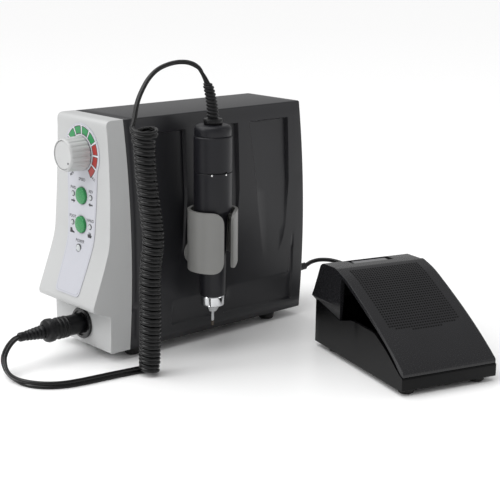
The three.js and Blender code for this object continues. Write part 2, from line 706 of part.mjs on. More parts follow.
add("hinge_pin", across(rod(PIN.radius, 2.6, W - 2.6, 16), PIN.s, PIN.z), MATERIAL.steel, pedal);

// Treadle: a plate with a hood at its high end whose skirt passes outside the base.
{
  const top = [[-HOOD.skirt, 20], [-HOOD.skirt, HOOD.shoulder, 1], [4.4, 62.8, 2.5], [26.5, 64, 3], [60, 51.4], [96, 31.2, 10], [L - 0.6, 15.4, 1]];
  const hoodSide = [...top.slice(0, 4), [HOOD.end, 61.6], [HOOD.end, 27], [0, 34], [-HOOD.skirt, 34.4]].filter((_, i) => i !== 0);
  const hoodFront = [[-HOOD.skirt, 20], [-HOOD.skirt, HOOD.shoulder, 1], [1, 64.5], [W - 1, 64.5], [W + HOOD.skirt, HOOD.shoulder, 1], [W + HOOD.skirt, 20]];
  const inner = -HOOD.skirt + HOOD.wall;
  const hoodInnerFront = [[inner, 10], [inner, HOOD.shoulder], [1 + HOOD.wall, 61.2], [W - 1 - HOOD.wall, 61.2], [W - inner, HOOD.shoulder], [W - inner, 10]];
  const hoodInnerSide = [[inner, 10], [inner, HOOD.shoulder + 0.5], [6.4, 60.4, 1.5], [26.5, 61.4], [HOOD.end + 5, 59], [HOOD.end + 5, 10]];
  const hood = cut(
    common(alongW(hoodSide, -10, W + 10), alongX(outline(hoodFront), -10, HOOD.end, 3)),
    common(alongW(hoodInnerSide, -10, W + 10), alongX(outline(hoodInnerFront), -10, HOOD.end + 10, 3)),
  );
  const plate = alongW(
    [[24, 63.8], [26.5, 64, 2], [60, 51.4], [96, 31.2, 10], [L - 0.6, 15.4, 1], [L - 0.6, 14.2], [L - 4, 14.4], [94.6, 28.9, 10], [59, 48.8], [26.2, 61.4], [24, 61.2]],
    0.4,
    W - 0.4,
    5,
  );
  const lug = (from) =>
    join(
      across(rod(4, from, from + 5, 18), PIN.s, PIN.z),
      alongW([[PIN.s - 4, PIN.z], [PIN.s + 3, PIN.z], [PIN.s + 2, 19.8], [PIN.s - 4, 23.8]], from, from + 5),
    );
  const bore = across(rod(PIN.bore, 0, W, 16), PIN.s, PIN.z);
  const recess = alongW([[6.5, 62.2], [16.5, 62.8], [16.5, 70], [6.5, 70]], 20.6, 54.6);
  add("treadle", cut(join(hood, plate, lug(13), lug(W - 18)), bore, recess), MATERIAL.pedal, pedal);
  add("pedal_nameplate", alongW([[6.9, 62.53], [16.1, 63.08], [16.1, 63.5], [6.9, 62.95]], 21, 54.2), MATERIAL.label, pedal);
}
const SPRING = { s: 46, radius: 6, wire: 1.2, low: 5.5, high: 50 };
add(
  "pedal_spring",
  turnedRing(
    [[SPRING.radius - SPRING.wire, SPRING.low], [SPRING.radius, SPRING.low], [SPRING.radius, SPRING.high], [SPRING.radius - SPRING.wire, SPRING.high]],
    20,
  )
    .rotateX(Math.PI / 2)
    .translate(SPRING.s, W / 2, 0),
  MATERIAL.steel,
  pedal,
);
add("pedal_switch", alongW([[64, 5.6], [84, 5.6], [84, 17], [79, 17], [79, 21], [72, 21], [72, 17], [64, 17]], 24, 34), MATERIAL.caseBlack, pedal);
[[14, 12], [14, W - 12], [L - 11, 12], [L - 11, W - 12]].forEach(([s, w], i) => {
  const foot = turned([[0, 0], [4.6, 0], [5.4, 0.8], [5.6, PEDAL.base], [0, PEDAL.base]], 18);
  add("pedal_foot_" + (i + 1), foot.rotateX(Math.PI / 2).translate(s, w, 0), MATERIAL.rubber, pedal);
});

// ---------------------------------------------------------------- pedal lead
const PEDAL_PLUG = { tip: 122, z: REAR.socketZ };
add(
  "pedal_plug",
  facing(
    turned([[0, -PEDAL_PLUG.tip], [2.3, -PEDAL_PLUG.tip], [3.6, -108], [4.9, -106], [4.9, -rearFace + 2 - 2.4], [4.2, -rearFace + 8], [0, -rearFace + 8]], 20),
    0,
    PEDAL_PLUG.z,
  ),
  MATERIAL.cable,
);
const toRoom = (s, w, z) => new THREE.Vector3(s, w, z).applyEuler(pedal.rotation).add(pedal.position).toArray();
add(
  "pedal_gland",
  alongX(new THREE.Shape().absarc(55, 14, 2.8, 0, 2 * Math.PI), -14, 7, 8),
  MATERIAL.cable,
  pedal,
);
const LEAD_ROUTE = [
  [0, PEDAL_PLUG.tip + 0.7, PEDAL_PLUG.z],
  [0, PEDAL_PLUG.tip + 2.5, PEDAL_PLUG.z + 0.5],
  [0.6, 128.5, 28.2],
  [3.6, 134.5, 30.6],
  [10.5, 140.5, 31.6],
  [20, 145.5, 30.4],
  [31, 149.8, 26.5],
  [40.5, 148.2, 19.8],
  [47, 143, 11.5],
  [50.3, 136.5, 5],
  [COIL.x - COIL.outer - 2.2, 131, 2.4],
  [COIL.x - COIL.outer - 2.1, COIL.y + 1, 1.9],
];
add("pedal_lead", cord(LEAD_ROUTE, LEAD, 8, 30), MATERIAL.cable);
add("pedal_coil", standing(turnedRing([[COIL.inner, 0], [COIL.outer, 0], [COIL.outer, COIL.height], [COIL.inner, COIL.height]], 32), COIL.x, COIL.y), MATERIAL.cable);
const TAIL_ROUTE = [
  toRoom(-14.8, 55, 14),
  toRoom(-17.2, 55, 13.8),
  [91, 98.4, 12.4],
  [87.5, 99, 10.8],
  [84.5, 99.2, COIL.height + 2.2],
];
add("pedal_tail", cord(TAIL_ROUTE, LEAD, 8, 8), MATERIAL.cable);

["cord_floor", "cord_curl", "cord_arch", "plug_shell", "plug_boot"].forEach((name) => corded.add(name));
["pedal_plug", "pedal_lead", "pedal_coil", "pedal_tail"].forEach((name) => corded.add(name));

// ---------------------------------------------------------------- origin: middle of the footprint
drill.updateMatrixWorld(true);
const footprint = new THREE.Box3();
drill.traverse((piece) => {
  if (piece.isMesh && !corded.has(piece.name)) footprint.expandByObject(piece, true);
});
const middle = footprint.getCenter(new THREE.Vector3());
drill.position.set(-middle.x, -middle.y, -footprint.min.z);

export default drill;
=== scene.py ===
import math

import bmesh
import bpy
from mathutils import Matrix, Vector


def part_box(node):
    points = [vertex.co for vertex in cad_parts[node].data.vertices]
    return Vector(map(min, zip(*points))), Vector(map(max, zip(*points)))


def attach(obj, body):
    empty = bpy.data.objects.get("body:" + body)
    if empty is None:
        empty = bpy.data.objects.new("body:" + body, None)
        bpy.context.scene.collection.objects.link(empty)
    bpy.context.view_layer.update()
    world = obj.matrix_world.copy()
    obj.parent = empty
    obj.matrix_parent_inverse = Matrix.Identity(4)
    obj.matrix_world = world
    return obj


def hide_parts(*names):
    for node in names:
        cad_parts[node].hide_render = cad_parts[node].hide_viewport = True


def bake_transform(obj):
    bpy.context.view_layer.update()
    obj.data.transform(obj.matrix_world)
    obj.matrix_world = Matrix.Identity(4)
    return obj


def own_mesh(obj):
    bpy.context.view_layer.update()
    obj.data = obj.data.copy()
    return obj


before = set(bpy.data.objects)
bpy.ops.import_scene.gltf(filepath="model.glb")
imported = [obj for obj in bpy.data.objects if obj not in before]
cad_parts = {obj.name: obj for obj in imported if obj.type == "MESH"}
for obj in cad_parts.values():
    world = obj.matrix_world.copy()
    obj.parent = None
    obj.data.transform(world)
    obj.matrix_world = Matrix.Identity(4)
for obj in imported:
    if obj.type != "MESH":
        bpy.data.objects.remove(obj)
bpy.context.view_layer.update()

# ---------------------------------------------------------------- camera
# A long lens a metre away, a little above the table, with the box's panel on the left. It is aimed in
# the box's own millimetres, in which every piece is laid out: x from its middle plane, y back, z up.
# The rubber feet that the box stands on say where these millimetres lie in the frame.
MM = 0.001
FOOT_X, FOOT_FRONT, FOOT_REAR = 24, -73.5, 57
left_foot, right_foot, rear_foot = [sum(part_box("box_foot_%d" % n), Vector()) / 2 for n in (1, 2, 3)]
TO_FRAME = Matrix.Translation(
    ((left_foot.x + right_foot.x) / 2, rear_foot.y - FOOT_REAR * MM, 0)
) @ Matrix.Scale(MM, 4)


def at(x, y, z):
    """A place in the box's millimetres, in the frame's metres."""
    return TO_FRAME @ Vector((x, y, z))


def shown(name, data):
    """An object of this data, linked into the scene."""
    made = bpy.data.objects.new(name, data)
    bpy.context.scene.collection.objects.link(made)
    return made


AZIMUTH, ELEVATION, ROLL = math.radians(47.983), math.radians(14.359), math.radians(0.618)
AIM, DISTANCE = (-0.006, 60.861, 49.682), 0.961708  # what it looks at (mm), and from how far (m)
back = Vector((
    math.sin(AZIMUTH) * math.cos(ELEVATION),
    -math.cos(AZIMUTH) * math.cos(ELEVATION),
    math.sin(ELEVATION),
))
level = Vector((math.cos(AZIMUTH), math.sin(AZIMUTH), 0))
upright = back.cross(level)
camera = shown("camera", bpy.data.cameras.new("camera"))
camera.data.sensor_width = 36
camera.data.lens = 87.063
camera.data.clip_start, camera.data.clip_end = 0.05, 50
side = math.cos(ROLL) * level + math.sin(ROLL) * upright
top = -math.sin(ROLL) * level + math.cos(ROLL) * upright
turn = Matrix((side, top, back)).transposed().to_4x4()
camera.matrix_world = Matrix.Translation(at(*AIM) + back * DISTANCE) @ turn
bpy.context.scene.camera = camera


# ---------------------------------------------------------------- handpiece cord
# A flat twin cord of black PVC: two round cores side by side. It leaves the plug, runs over the
# table, winds up on its edge into a tall curl beside the box, and arches over to the handpiece.
def linear(colour):
    """A hex sRGB colour as linear red, green, blue and alpha."""
    parts = [int(colour[i : i + 2], 16) / 255 for i in (1, 3, 5)]
    return [p / 12.92 if p <= 0.04045 else ((p + 0.055) / 1.055) ** 2.4 for p in parts] + [1]


def add_node(material, kind, settings=None, **inputs):
    """A node with its settings, its inputs set to values or linked to sockets."""
    node = material.node_tree.nodes.new("ShaderNode" + kind)
    for name, value in (settings or {}).items():
        setattr(node, name, value)
    for name, value in inputs.items():
        numbered = name[0] == "i" and name[1:].isdigit()
        socket = node.inputs[int(name[1:]) if numbered else name.replace("_", " ")]
        if isinstance(value, bpy.types.NodeSocket):
            material.node_tree.links.new(value, socket)
        else:
            socket.default_value = value
    return node


def start_material(name, **shader):
    """A material, with values set on its shader's sockets."""
    material = bpy.data.materials.new(name)
    material.use_nodes = True
    for key, value in shader.items():
        material.node_tree.nodes["Principled BSDF"].inputs[key.replace("_", " ")].default_value = value
    return material


def feed(material, **outputs):
    """Links nodes' outputs to the shader's sockets."""
    for key, output in outputs.items():
        socket = material.node_tree.nodes["Principled BSDF"].inputs[key.replace("_", " ")]
        material.node_tree.links.new(output, socket)


def two_tone(material, mask, low, high):
    """A colour that goes from low to high with the mask."""
    tone = add_node(material, "Mix", {"data_type": "RGBA"}, i0=mask, i6=linear(low), i7=linear(high))
    return tone.outputs[2]


def moulded(name, low, high, roughness, spread=0.06, patch=14, grain=0.6, relief=0.012, **shader):
    """Moulded plastic or rubber: the colour drifts from low to high over patches (mm), and the mould's
    grain (mm) gives a fine relief (mm) and breaks up the gloss."""
    material = start_material(name, **shader)
    place = add_node(material, "TexCoord").outputs["Object"]
    drift = add_node(material, "TexNoise", Vector=place, Scale=1 / (patch * MM), Detail=3.0)
    fine = add_node(material, "TexNoise", Vector=place, Scale=1 / (grain * MM), Detail=2.0)
    gloss = add_node(
        material, "MapRange", Value=fine.outputs["Fac"], From_Min=0.3, From_Max=0.7,
        To_Min=roughness - spread, To_Max=roughness + spread,
    )
    bump = add_node(material, "Bump", Height=fine.outputs["Fac"], Strength=0.6, Distance=relief * MM)
    feed(
        material, Base_Color=two_tone(material, drift.outputs["Fac"], low, high),
        Roughness=gloss.outputs[0], Normal=bump.outputs[0],
    )
    return material


# soft PVC jacket: black, with the oily sheen of plasticised PVC
pvc_black = moulded(
    "pvc_jacket_black", "#070708", "#0C0C0D", 0.25, 0.04, 9, 0.5, 0.0012, IOR=1.52, Specular_IOR_Level=0.28
)


def smooth_line(points, step):
    """Points a step apart along a centripetal curve through the given points (mm)."""
    points = [Vector(p) for p in points]
    ends = [points[0] * 2 - points[1], *points, points[-1] * 2 - points[-2]]
    line = []
    for a, b, c, d in zip(ends, ends[1:], ends[2:], ends[3:]):
        t0, t1 = 0, math.sqrt((b - a).length)
        t2 = t1 + math.sqrt((c - b).length)
        t3 = t2 + math.sqrt((d - c).length)
        pieces = max(1, round((c - b).length / step))
        for i in range(pieces):
            t = t1 + (t2 - t1) * i / pieces
            ab = a * ((t1 - t) / (t1 - t0)) + b * ((t - t0) / (t1 - t0))
            bc = b * ((t2 - t) / (t2 - t1)) + c * ((t - t1) / (t2 - t1))
            cd = c * ((t3 - t) / (t3 - t2)) + d * ((t - t2) / (t3 - t2))
            abc = ab * ((t2 - t) / (t2 - t0)) + bc * ((t - t0) / (t2 - t0))
            bcd = bc * ((t3 - t) / (t3 - t1)) + cd * ((t - t1) / (t3 - t1))
            line.append(abc * ((t2 - t) / (t2 - t1)) + bcd * ((t - t1) / (t2 - t1)))
    return line + [points[-1]]


def lerp_points(points, z):
    """The point at a height on a line of rising points."""
    for a, b in zip(points, points[1:]):
        if z <= b.z:
            return a.lerp(b, max(0, (z - a.z) / (b.z - a.z)))
    return points[-1]


def clamp(value):
    """A value held between 0 and 1."""
    return min(1, max(0, value))


def ease(value):
    """A value from 0 to 1, with a soft start and end."""
    return value * value * (3 - 2 * value)


def tube(name, line, section, widths, material):
    """A closed tube: a section (mm, first coordinate along each ring's width direction) carried along
    a line."""
    bm = bmesh.new()
    rings = []
    for i, point in enumerate(line):
        ahead = (line[min(i + 1, len(line) - 1)] - line[max(i - 1, 0)]).normalized()
        wide = (widths[i] - ahead * widths[i].dot(ahead)).normalized()
        thick = ahead.cross(wide)
        rings.append([bm.verts.new(point + wide * u + thick * v) for u, v in section])
    for a, b in zip(rings, rings[1:]):
        for i in range(len(section)):
            j = (i + 1) % len(section)
            bm.faces.new((a[i], a[j], b[j], b[i]))
    bm.faces.new(list(reversed(rings[0])))
    bm.faces.new(rings[-1])
    bm.transform(TO_FRAME)
    bmesh.ops.recalc_face_normals(bm, faces=bm.faces)
    mesh = bpy.data.meshes.new(name)
    bm.to_mesh(mesh)
    bm.free()
    mesh.materials.append(material)
    mesh.shade_smooth()
    return shown(name, mesh)


CORE, CORE_AT = 1.3, 1.37  # a core's radius, and how far its middle is from the cord's middle
PITCH, CURL_RADIUS, TURNS, CURL_LOW = 5.5, 6.15, 29.867, 2.9
curl_axis = [
    Vector(p) for p in (
        (68.1, -91.9, 0), (68.4, -91.6, 12.5), (69.0, -91.0, 38), (69.0, -91.0, 66.7), (69.5, -90.4, 78),
        (70.6, -89.3, 91.3), (70.6, -89.3, 99), (69.9, -90.2, 111), (68.8, -91.2, 123.5), (67.6, -92.4, 140),
        (67.1, -93.0, 155), (67.2, -93.0, 170),
    )
]
floor_line = smooth_line(
    [
        (0, -149, 22.4), (0, -152.9, 22.4), (-0.1, -155, 21.8), (-0.4, -158, 19.6), (-0.6, -161.5, 15.5),
        (0.6, -164.6, 10.4), (6, -167, 6), (12, -168.4, 3.9), (19, -169.2, 2.9), (30.5, -168.6, 2.6),
        (39.5, -165, 2.6), (46.5, -159, 2.6), (51.9, -150.4, 2.6), (54.8, -139.8, 2.6), (56.6, -127.3, 2.6),
        (58.2, -115, 2.6), (59.8, -104.5, 2.6), (61.2, -97, 2.7),
    ],
    1.6,
)
STEPS = 28  # points to a turn
curl_line = []
for i in range(round(TURNS * STEPS) + 1):
    turned_by = i / STEPS
    z = CURL_LOW + PITCH * turned_by + 0.35 * math.sin(turned_by * 0.9) * math.sin(turned_by * 0.31)
    narrow = max(0, 1 - turned_by / 1.2)  # the first turn is drawn in
    wide = ease(clamp((turned_by - TURNS + 1.9) / 1.8))  # the last two turns widen
    opened = ease(clamp((turned_by - TURNS + 1.5) / 0.9))  # and tip up towards the arch
    radius = CURL_RADIUS + 2.0 * wide - 0.45 * narrow
    angle = math.pi - 2 * math.pi * turned_by
    centre = lerp_points(curl_axis, z)
    z += 0.26 * radius * (1 - math.cos(angle + math.radians(40))) * opened
    curl_line.append(Vector((centre.x + radius * math.cos(angle), centre.y + radius * math.sin(angle), z)))
curl_top = curl_line[-1].z
arch_line = smooth_line(
    [
        curl_line[-1], (61.3, -98.6, curl_top + 0.9), (60.7, -97.2, curl_top + 2.9), (59.7, -95.4, 175.4),
        (57.7, -92.4, 182), (54.9, -87.9, 187.8), (52, -82.3, 193.2), (49.3, -76.3, 198), (47.2, -69.8, 202),
        (46, -63.9, 204.6), (45.5, -58.1, 206.3), (45.5, -51.5, 207.5), (46, -45.3, 207.8),
        (47, -39.9, 207.2), (48.4, -35.5, 205.5), (49.6, -32.4, 203.1), (50.6, -30.7, 199.8),
        (51.9, -29.3, 196.4), (53.3, -28.4, 192.8), (54.0, -27.9, 190.5),
    ],
    1.6,
)
cord_line = floor_line + curl_line + arch_line[1:]
keys = [  # how the flat cord's width stands, by index
    (0, Vector((1, 0, 0))), (10, Vector((1, 0, -0.1))), (24, Vector((0.9, -0.4, 0.5))),
    (38, Vector((0, 0, 1))), (len(cord_line) - 1, Vector((0, 0, 1))),
]
ROLLS_BEFORE, ROLLS_OVER, ROLLS_BACK = 8, 14, 12  # points over which it rolls to lie flat in the arch
cord_widths = []
for i in range(len(cord_line)):
    (i0, a), (i1, b) = next(pair for pair in zip(keys, keys[1:]) if i <= pair[1][0])
    cord_widths.append(a.lerp(b, ease(clamp((i - i0) / (i1 - i0)))))
    past_curl = i - len(floor_line) - len(curl_line)
    into_arch = min(1, (past_curl + ROLLS_BEFORE) / ROLLS_OVER, (len(cord_line) - i) / ROLLS_BACK)
    if into_arch > 0:
        ahead = (cord_line[min(i + 1, len(cord_line) - 1)] - cord_line[i - 1]).normalized()
        cord_widths[-1] = cord_widths[-1].lerp(back * 0.93 + ahead.cross(back) * 0.4, into_arch)
core_angles = [math.radians(-165 + 33 * i) for i in range(11)]
twin = [(CORE_AT + CORE * math.cos(a), CORE * math.sin(a)) for a in core_angles]
twin += [(-u, -v) for u, v in twin]
hand_cord = tube("handpiece_cord", cord_line, twin, cord_widths, pvc_black)
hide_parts("cord_floor", "cord_curl", "cord_arch")
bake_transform(hand_cord)


# ---------------------------------------------------------------- pedal lead
# A thin round lead of the same black PVC. From its plug behind the box it drops to the table, lies
# there behind the pedal in a flat coil of two layers, and goes up into the gland in the pedal's back.
LEAD, COIL_X, COIL_Y = 3.5, 82, 125
lead_line = smooth_line(
    [
        (0, 119, 26), (0, 122.7, 26), (0, 124.5, 26.5), (0.6, 128.5, 28.2), (3.6, 134.5, 29.8),
        (10.5, 140.5, 30.2), (20, 145.5, 28.6), (31, 149.8, 25), (40.5, 148.2, 19.8), (47, 143, 11.5),
        (51, 137, 5.2), (54, 131, 2.4),
    ],
    2.2,
)
COIL_RADIUS, COLUMNS, COLUMN = 26.6, 5, 3.68  # the coil's outer turn, its turns to a layer, and their width
LAYER_LOW, LAYER_RISE = 1.9, 3.55
COIL_STEPS, LEFT_OUT = 26, 0.73  # points to a turn, and how much of the last turn isn't there
coil_line = []
for i in range(2 * COLUMNS * COIL_STEPS + 1 - round(COIL_STEPS * LEFT_OUT)):
    turned_by = i / COIL_STEPS
    index = min(int(turned_by), 2 * COLUMNS - 1)
    column = abs(index - COLUMNS + 0.5) - 0.5  # counted from the inside
    after = abs(index + 1 - COLUMNS + 0.5) - 0.5 if index + 1 < 2 * COLUMNS else column
    crossing = clamp((turned_by - index - 0.8) / 0.2)
    radius = COIL_RADIUS - COLUMN * (COLUMNS - 1) + COLUMN * (column + (after - column) * crossing)
    layer = 1 if index >= COLUMNS else crossing if index == COLUMNS - 1 else 0
    angle = math.pi + 2 * math.pi * turned_by
    coil_line.append(Vector((
        COIL_X + radius * math.cos(angle), COIL_Y + radius * math.sin(angle), LAYER_LOW + LAYER_RISE * layer,
    )))
pedal_turn = Matrix.Translation((95.9, 39.9, 0)) @ Matrix.Rotation(math.radians(-16), 4, "Z")
GLAND_W, GLAND_Z = 55, 14
tail_line = smooth_line(
    [
        coil_line[-1], (84.2, 98.9, 7.4), (87.5, 98.9, 10.2), (91, 98.4, 12.4),
        *[pedal_turn @ Vector((s, GLAND_W, z)) for s, z in ((-17.2, 13.8), (-14.5, GLAND_Z), (-11, GLAND_Z))],
    ],
    2.2,
)
lead_path = lead_line[:-1] + coil_line + tail_line[1:]
twelfths = [math.radians(30 * i) for i in range(12)]
circle = [(LEAD / 2 * math.cos(a), LEAD / 2 * math.sin(a)) for a in twelfths]
pedal_lead = tube("pedal_lead_cord", lead_path, circle, [Vector((0.05, 0.03, 1))] * len(lead_path), pvc_black)
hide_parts("pedal_lead", "pedal_coil", "pedal_tail")
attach(pedal_lead, "control_box")

# ---------------------------------------------------------------- table and light
# A plain white table under a wide overhead light, with a small softbox in front on the left and a
# larger, weaker one behind on the right.
# coated board: white, with a low sheen
table_white = start_material(
    "table_white", Base_Color=linear("#FFFFFF"), Roughness=0.32, Specular_IOR_Level=0.35
)
bm = bmesh.new()
bmesh.ops.create_grid(bm, x_segments=1, y_segments=1, size=8)
mesh = bpy.data.meshes.new("table")
bm.to_mesh(mesh)
bm.free()
mesh.materials.append(table_white)
shown("table", mesh)

world = bpy.data.worlds.new("studio")
world.use_nodes = True
world.node_tree.nodes["Background"].inputs["Color"].default_value = (1, 1, 1, 1)
world.node_tree.nodes["Background"].inputs["Strength"].default_value = 0.5
bpy.context.scene.world = world
for name, kind, place, size, power in (
    ("overhead", "SUN", (-0.35, -0.5, 1.25), math.radians(70), 2.45),
    ("softbox_left", "AREA", (-0.5, -1.3, 0.75), 0.4, 3.2),
    ("softbox_right", "AREA", (1.5, 1.2, 0.85), 0.8, 2.5),
):
    lamp = shown(name, bpy.data.lights.new(name, kind))
    setattr(lamp.data, "angle" if kind == "SUN" else "size", size)
    lamp.data.energy = power
    lamp.location = place
    lamp.rotation_euler = (Vector((0, 0, 0.08)) - Vector(place)).to_track_quat("-Z", "Y").to_euler()
bpy.context.scene.view_settings.view_transform = "Standard"


# ---------------------------------------------------------------- front housing
# One moulding of light grey ABS: a bulging panel, a chin that stands over the recessed plug block,
# and soft edges all round. Its rear edge meets the dark case along a bowed seam.
BASE_Z, TOP_Z = 7.2, 170
SEAM_Y, REAR_Y = -82.4, 83.8
SEAM_BOW, REAR_BOW, WALL = 2.45, 2.7, 2.4
# fine-textured ABS: satin, with a faint drift of tone and a grain that softens the highlights
abs_light_grey = moulded("abs_light_grey", "#B4B5B5", "#BBBCBC", 0.42, 0.05, 40, 0.7, 0.014, IOR=1.54)


def rounded(corners, steps=5):
    """The outline of corners (u, v, radius) with each corner turned through a curve."""
    line = []
    for i, corner in enumerate(corners):
        here = Vector(corner[:2])
        before = Vector(corners[i - 1][:2]) - here
        after = Vector(corners[(i + 1) % len(corners)][:2]) - here
        radius = min(corner[2] if len(corner) > 2 else 0, before.length * 0.48, after.length * 0.48)
        if radius < 0.01:
            line.append(here)
            continue
        start, end = here + before.normalized() * radius, here + after.normalized() * radius
        for k in range(steps + 1):
            t = k / steps
            line.append(start * (1 - t) ** 2 + here * 2 * t * (1 - t) + end * t * t)
    return line


def slab(outline, low, high, plane="yz"):
    """A solid of an outline, from low to high across its plane (mm)."""
    order = {
        "yz": lambda u, v, w: (w, u, v),
        "xz": lambda u, v, w: (u, w, v),
        "xy": lambda u, v, w: (u, v, w),
    }[plane]
    bm = bmesh.new()
    face = bm.faces.new([bm.verts.new(order(u, v, low)) for u, v in outline])
    moved = bmesh.ops.extrude_face_region(bm, geom=[face])["geom"]
    bmesh.ops.translate(
        bm, vec=order(0, 0, high - low), verts=[g for g in moved if isinstance(g, bmesh.types.BMVert)]
    )
    bmesh.ops.recalc_face_normals(bm, faces=bm.faces)
    return bm


def slice_at(bm, normal, places, faces=None):
    """Cuts edge loops where the planes through the places meet the shape."""
    for place in places:
        chosen = [f for f in (faces or bm.faces) if f.is_valid]
        geom = set(chosen) | {e for f in chosen for e in f.edges} | {v for f in chosen for v in f.verts}
        bmesh.ops.bisect_plane(bm, geom=list(geom), dist=1e-4, plane_co=place, plane_no=normal)


def half_width(z):
    """The box's half width: its sides are crowned and lean in towards the top."""
    return 34.4 - 5 * ((z - 45) / 125) ** 2


def bow(z, depth):
    """How far a bowed edge stands off the straight line between its ends."""
    t = (z - BASE_Z) / (TOP_Z - BASE_Z)
    return depth * 4 * t * (1 - t)


def crown(bm, side_x):
    """Leans and crowns the sides of a shape made between -side_x and side_x."""
    for v in bm.verts:
        if abs(v.co.x) > side_x - 6:
            v.co.x = math.copysign(half_width(v.co.z) - (side_x - abs(v.co.x)), v.co.x)


def piece_of(name, bm, materials, body, replaces=(), sharp=32, placed=TO_FRAME):
    """Makes a finished piece: doubles merged, faces outwards, in the frame's metres, riding on its body."""
    bmesh.ops.remove_doubles(bm, verts=bm.verts, dist=1e-4)
    bmesh.ops.recalc_face_normals(bm, faces=bm.faces)
    bm.transform(placed)
    mesh = bpy.data.meshes.new(name)
    bm.to_mesh(mesh)
    bm.free()
    for material in materials if isinstance(materials, (list, tuple)) else [materials]:
        mesh.materials.append(material)
    mesh.shade_smooth()
    mesh.set_sharp_from_angle(angle=math.radians(sharp))
    piece = shown(name, mesh)
    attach(piece, body)
    if replaces:
        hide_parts(*([replaces] if isinstance(replaces, str) else replaces))
    return piece


def cut_away(bm, *cutters):
    """Takes the cutters' solids out of a shape."""
    meshes = []
    for shape in (bm, *cutters):
        bmesh.ops.recalc_face_normals(shape, faces=shape.faces)
        meshes.append(bpy.data.meshes.new("cut"))
        shape.to_mesh(meshes[-1])
        shape.free()
    objects = [shown("cut", m) for m in meshes]
    for cutter in objects[1:]:
        modifier = objects[0].modifiers.new("cut", "BOOLEAN")
        modifier.operation, modifier.solver, modifier.object = "DIFFERENCE", "EXACT", cutter
    bpy.context.view_layer.update()
    result = bpy.data.meshes.new_from_object(objects[0].evaluated_get(bpy.context.evaluated_depsgraph_get()))
    made = bmesh.new()
    made.from_mesh(result)
    for o in objects:
        bpy.data.objects.remove(o)
    for m in [*meshes, result]:
        bpy.data.meshes.remove(m)
    return made


def turned(profile, segments=48, axis="z", place=(0, 0, 0)):
    """A body turned from (radius, height) corners; axis -y or y or x turns its heights that way."""
    bm = bmesh.new()
    verts = [bm.verts.new((r, 0, h)) for r, h in profile]
    edges = [bm.edges.new(pair) for pair in zip(verts, verts[1:])]
    bmesh.ops.spin(
        bm, geom=verts + edges, cent=(0, 0, 0), axis=(0, 0, 1), angle=2 * math.pi, steps=segments,
        use_merge=True,
    )
    bmesh.ops.remove_doubles(bm, verts=bm.verts, dist=1e-4)
    loose = [v for v in bm.verts if not v.link_faces]
    bmesh.ops.delete(bm, geom=loose, context="VERTS")
    turns = {
        "z": Matrix.Identity(4),
        "-y": Matrix.Rotation(math.pi / 2, 4, "X"),
        "y": Matrix.Rotation(-math.pi / 2, 4, "X"),
        "x": Matrix.Rotation(math.pi / 2, 4, "Y"),
    }
    bm.transform(Matrix.Translation(place) @ turns[axis])
    bmesh.ops.recalc_face_normals(bm, faces=bm.faces)
    return bm


def soften(bm, edges, width, segments=4):
    """Rounds edges over a width (mm)."""
    bmesh.ops.bevel(
        bm, geom=[e for e in edges if e.is_valid], offset=width, offset_type="OFFSET", affect="EDGES",
        segments=segments, profile=0.5, clamp_overlap=True, material=-1,
    )


housing_corners = [
    (-99.1, BASE_Z, 1.5), (-99.0, 34.0, 1.2), (-112.8, 39.6, 1.3), (-113.5, 42.6, 1.4), (-103, 70.5, 10),
    (-98.6, 84, 12), (-96.7, 115, 16), (-96.2, 145, 8), (-96.3, 160, 2), (-96.9, TOP_Z, 6),
    (SEAM_Y - 0.3, TOP_Z), (SEAM_Y - 0.3, BASE_Z),
]
housing_line = rounded(housing_corners, 6)
SIDE = 40  # half width before the sides are crowned
housing = slab(housing_line, -SIDE, SIDE)
slice_at(housing, (0, 0, 1), [(0, 0, z) for z in range(14, 168, 7)])
rim = [
    e for e in housing.edges
    if abs(e.verts[0].co.x) > SIDE - 0.1 and abs(e.verts[1].co.x) > SIDE - 0.1
    and e.verts[0].co.x * e.verts[1].co.x > 0 and len(e.link_faces) == 2
    and abs(e.link_faces[0].normal.x) + abs(e.link_faces[1].normal.x) < 1.5
    and (e.verts[0].co.y + e.verts[1].co.y) / 2 < SEAM_Y - 0.35
]
soften(housing, rim, 1.7, 4)
crown(housing, SIDE)
for v in housing.verts:
    if v.co.y > SEAM_Y - 0.4:
        v.co.y += bow(v.co.z, SEAM_BOW)
inwards = [
    (WALL, WALL), (WALL, 2.6), (3.2, WALL), (2.6, 1.2), *[(WALL, 0)] * 5, (WALL, -WALL), (20, -WALL),
    (20, WALL),
]
hollow = slab(
    [(y + dy, z + dz) for (y, z, *_), (dy, dz) in zip(housing_corners, inwards)], -SIDE + WALL, SIDE - WALL
)
slice_at(hollow, (0, 0, 1), [(0, 0, z) for z in range(14, 168, 14)])
crown(hollow, SIDE)


def panel_y(z):
    """The panel's surface at a height."""
    face = [p for p in housing_line if p.x < -90 and 42 < p.y <= 168]
    face.sort(key=lambda p: p.y)
    for a, b in zip(face, face[1:]):
        if a.y <= z <= b.y:
            return a.x + (b.x - a.x) * (z - a.y) / max(1e-6, b.y - a.y)
    return face[-1].x


DIAL_Z, BUTTON_Z, LAMP_X, POWER_Z, PLUG_Z = 144.6, (114.7, 94.2), 10.7, 77.6, 22.4
OUTSIDE = 125


def bore(start, radius, x, z, segments):
    """A cutter for a round hole through the front, from a distance ahead of the middle outwards."""
    return turned([(0, start), (radius, start), (radius, OUTSIDE), (0, OUTSIDE)], segments, "-y", (x, 0, z))


def panel_bores(start):
    """Cutters for the holes of the knob's shaft, the buttons and the lamps."""
    bores = [bore(start, 4.2, 0, DIAL_Z, 24)]
    for z in BUTTON_Z:
        bores += [bore(start, 6.25, 0, z, 40)]
        bores += [bore(start, 1.75, x, z, 20) for x in (-LAMP_X, LAMP_X)]
    return [*bores, bore(start, 2.8, 0, POWER_Z, 24)]


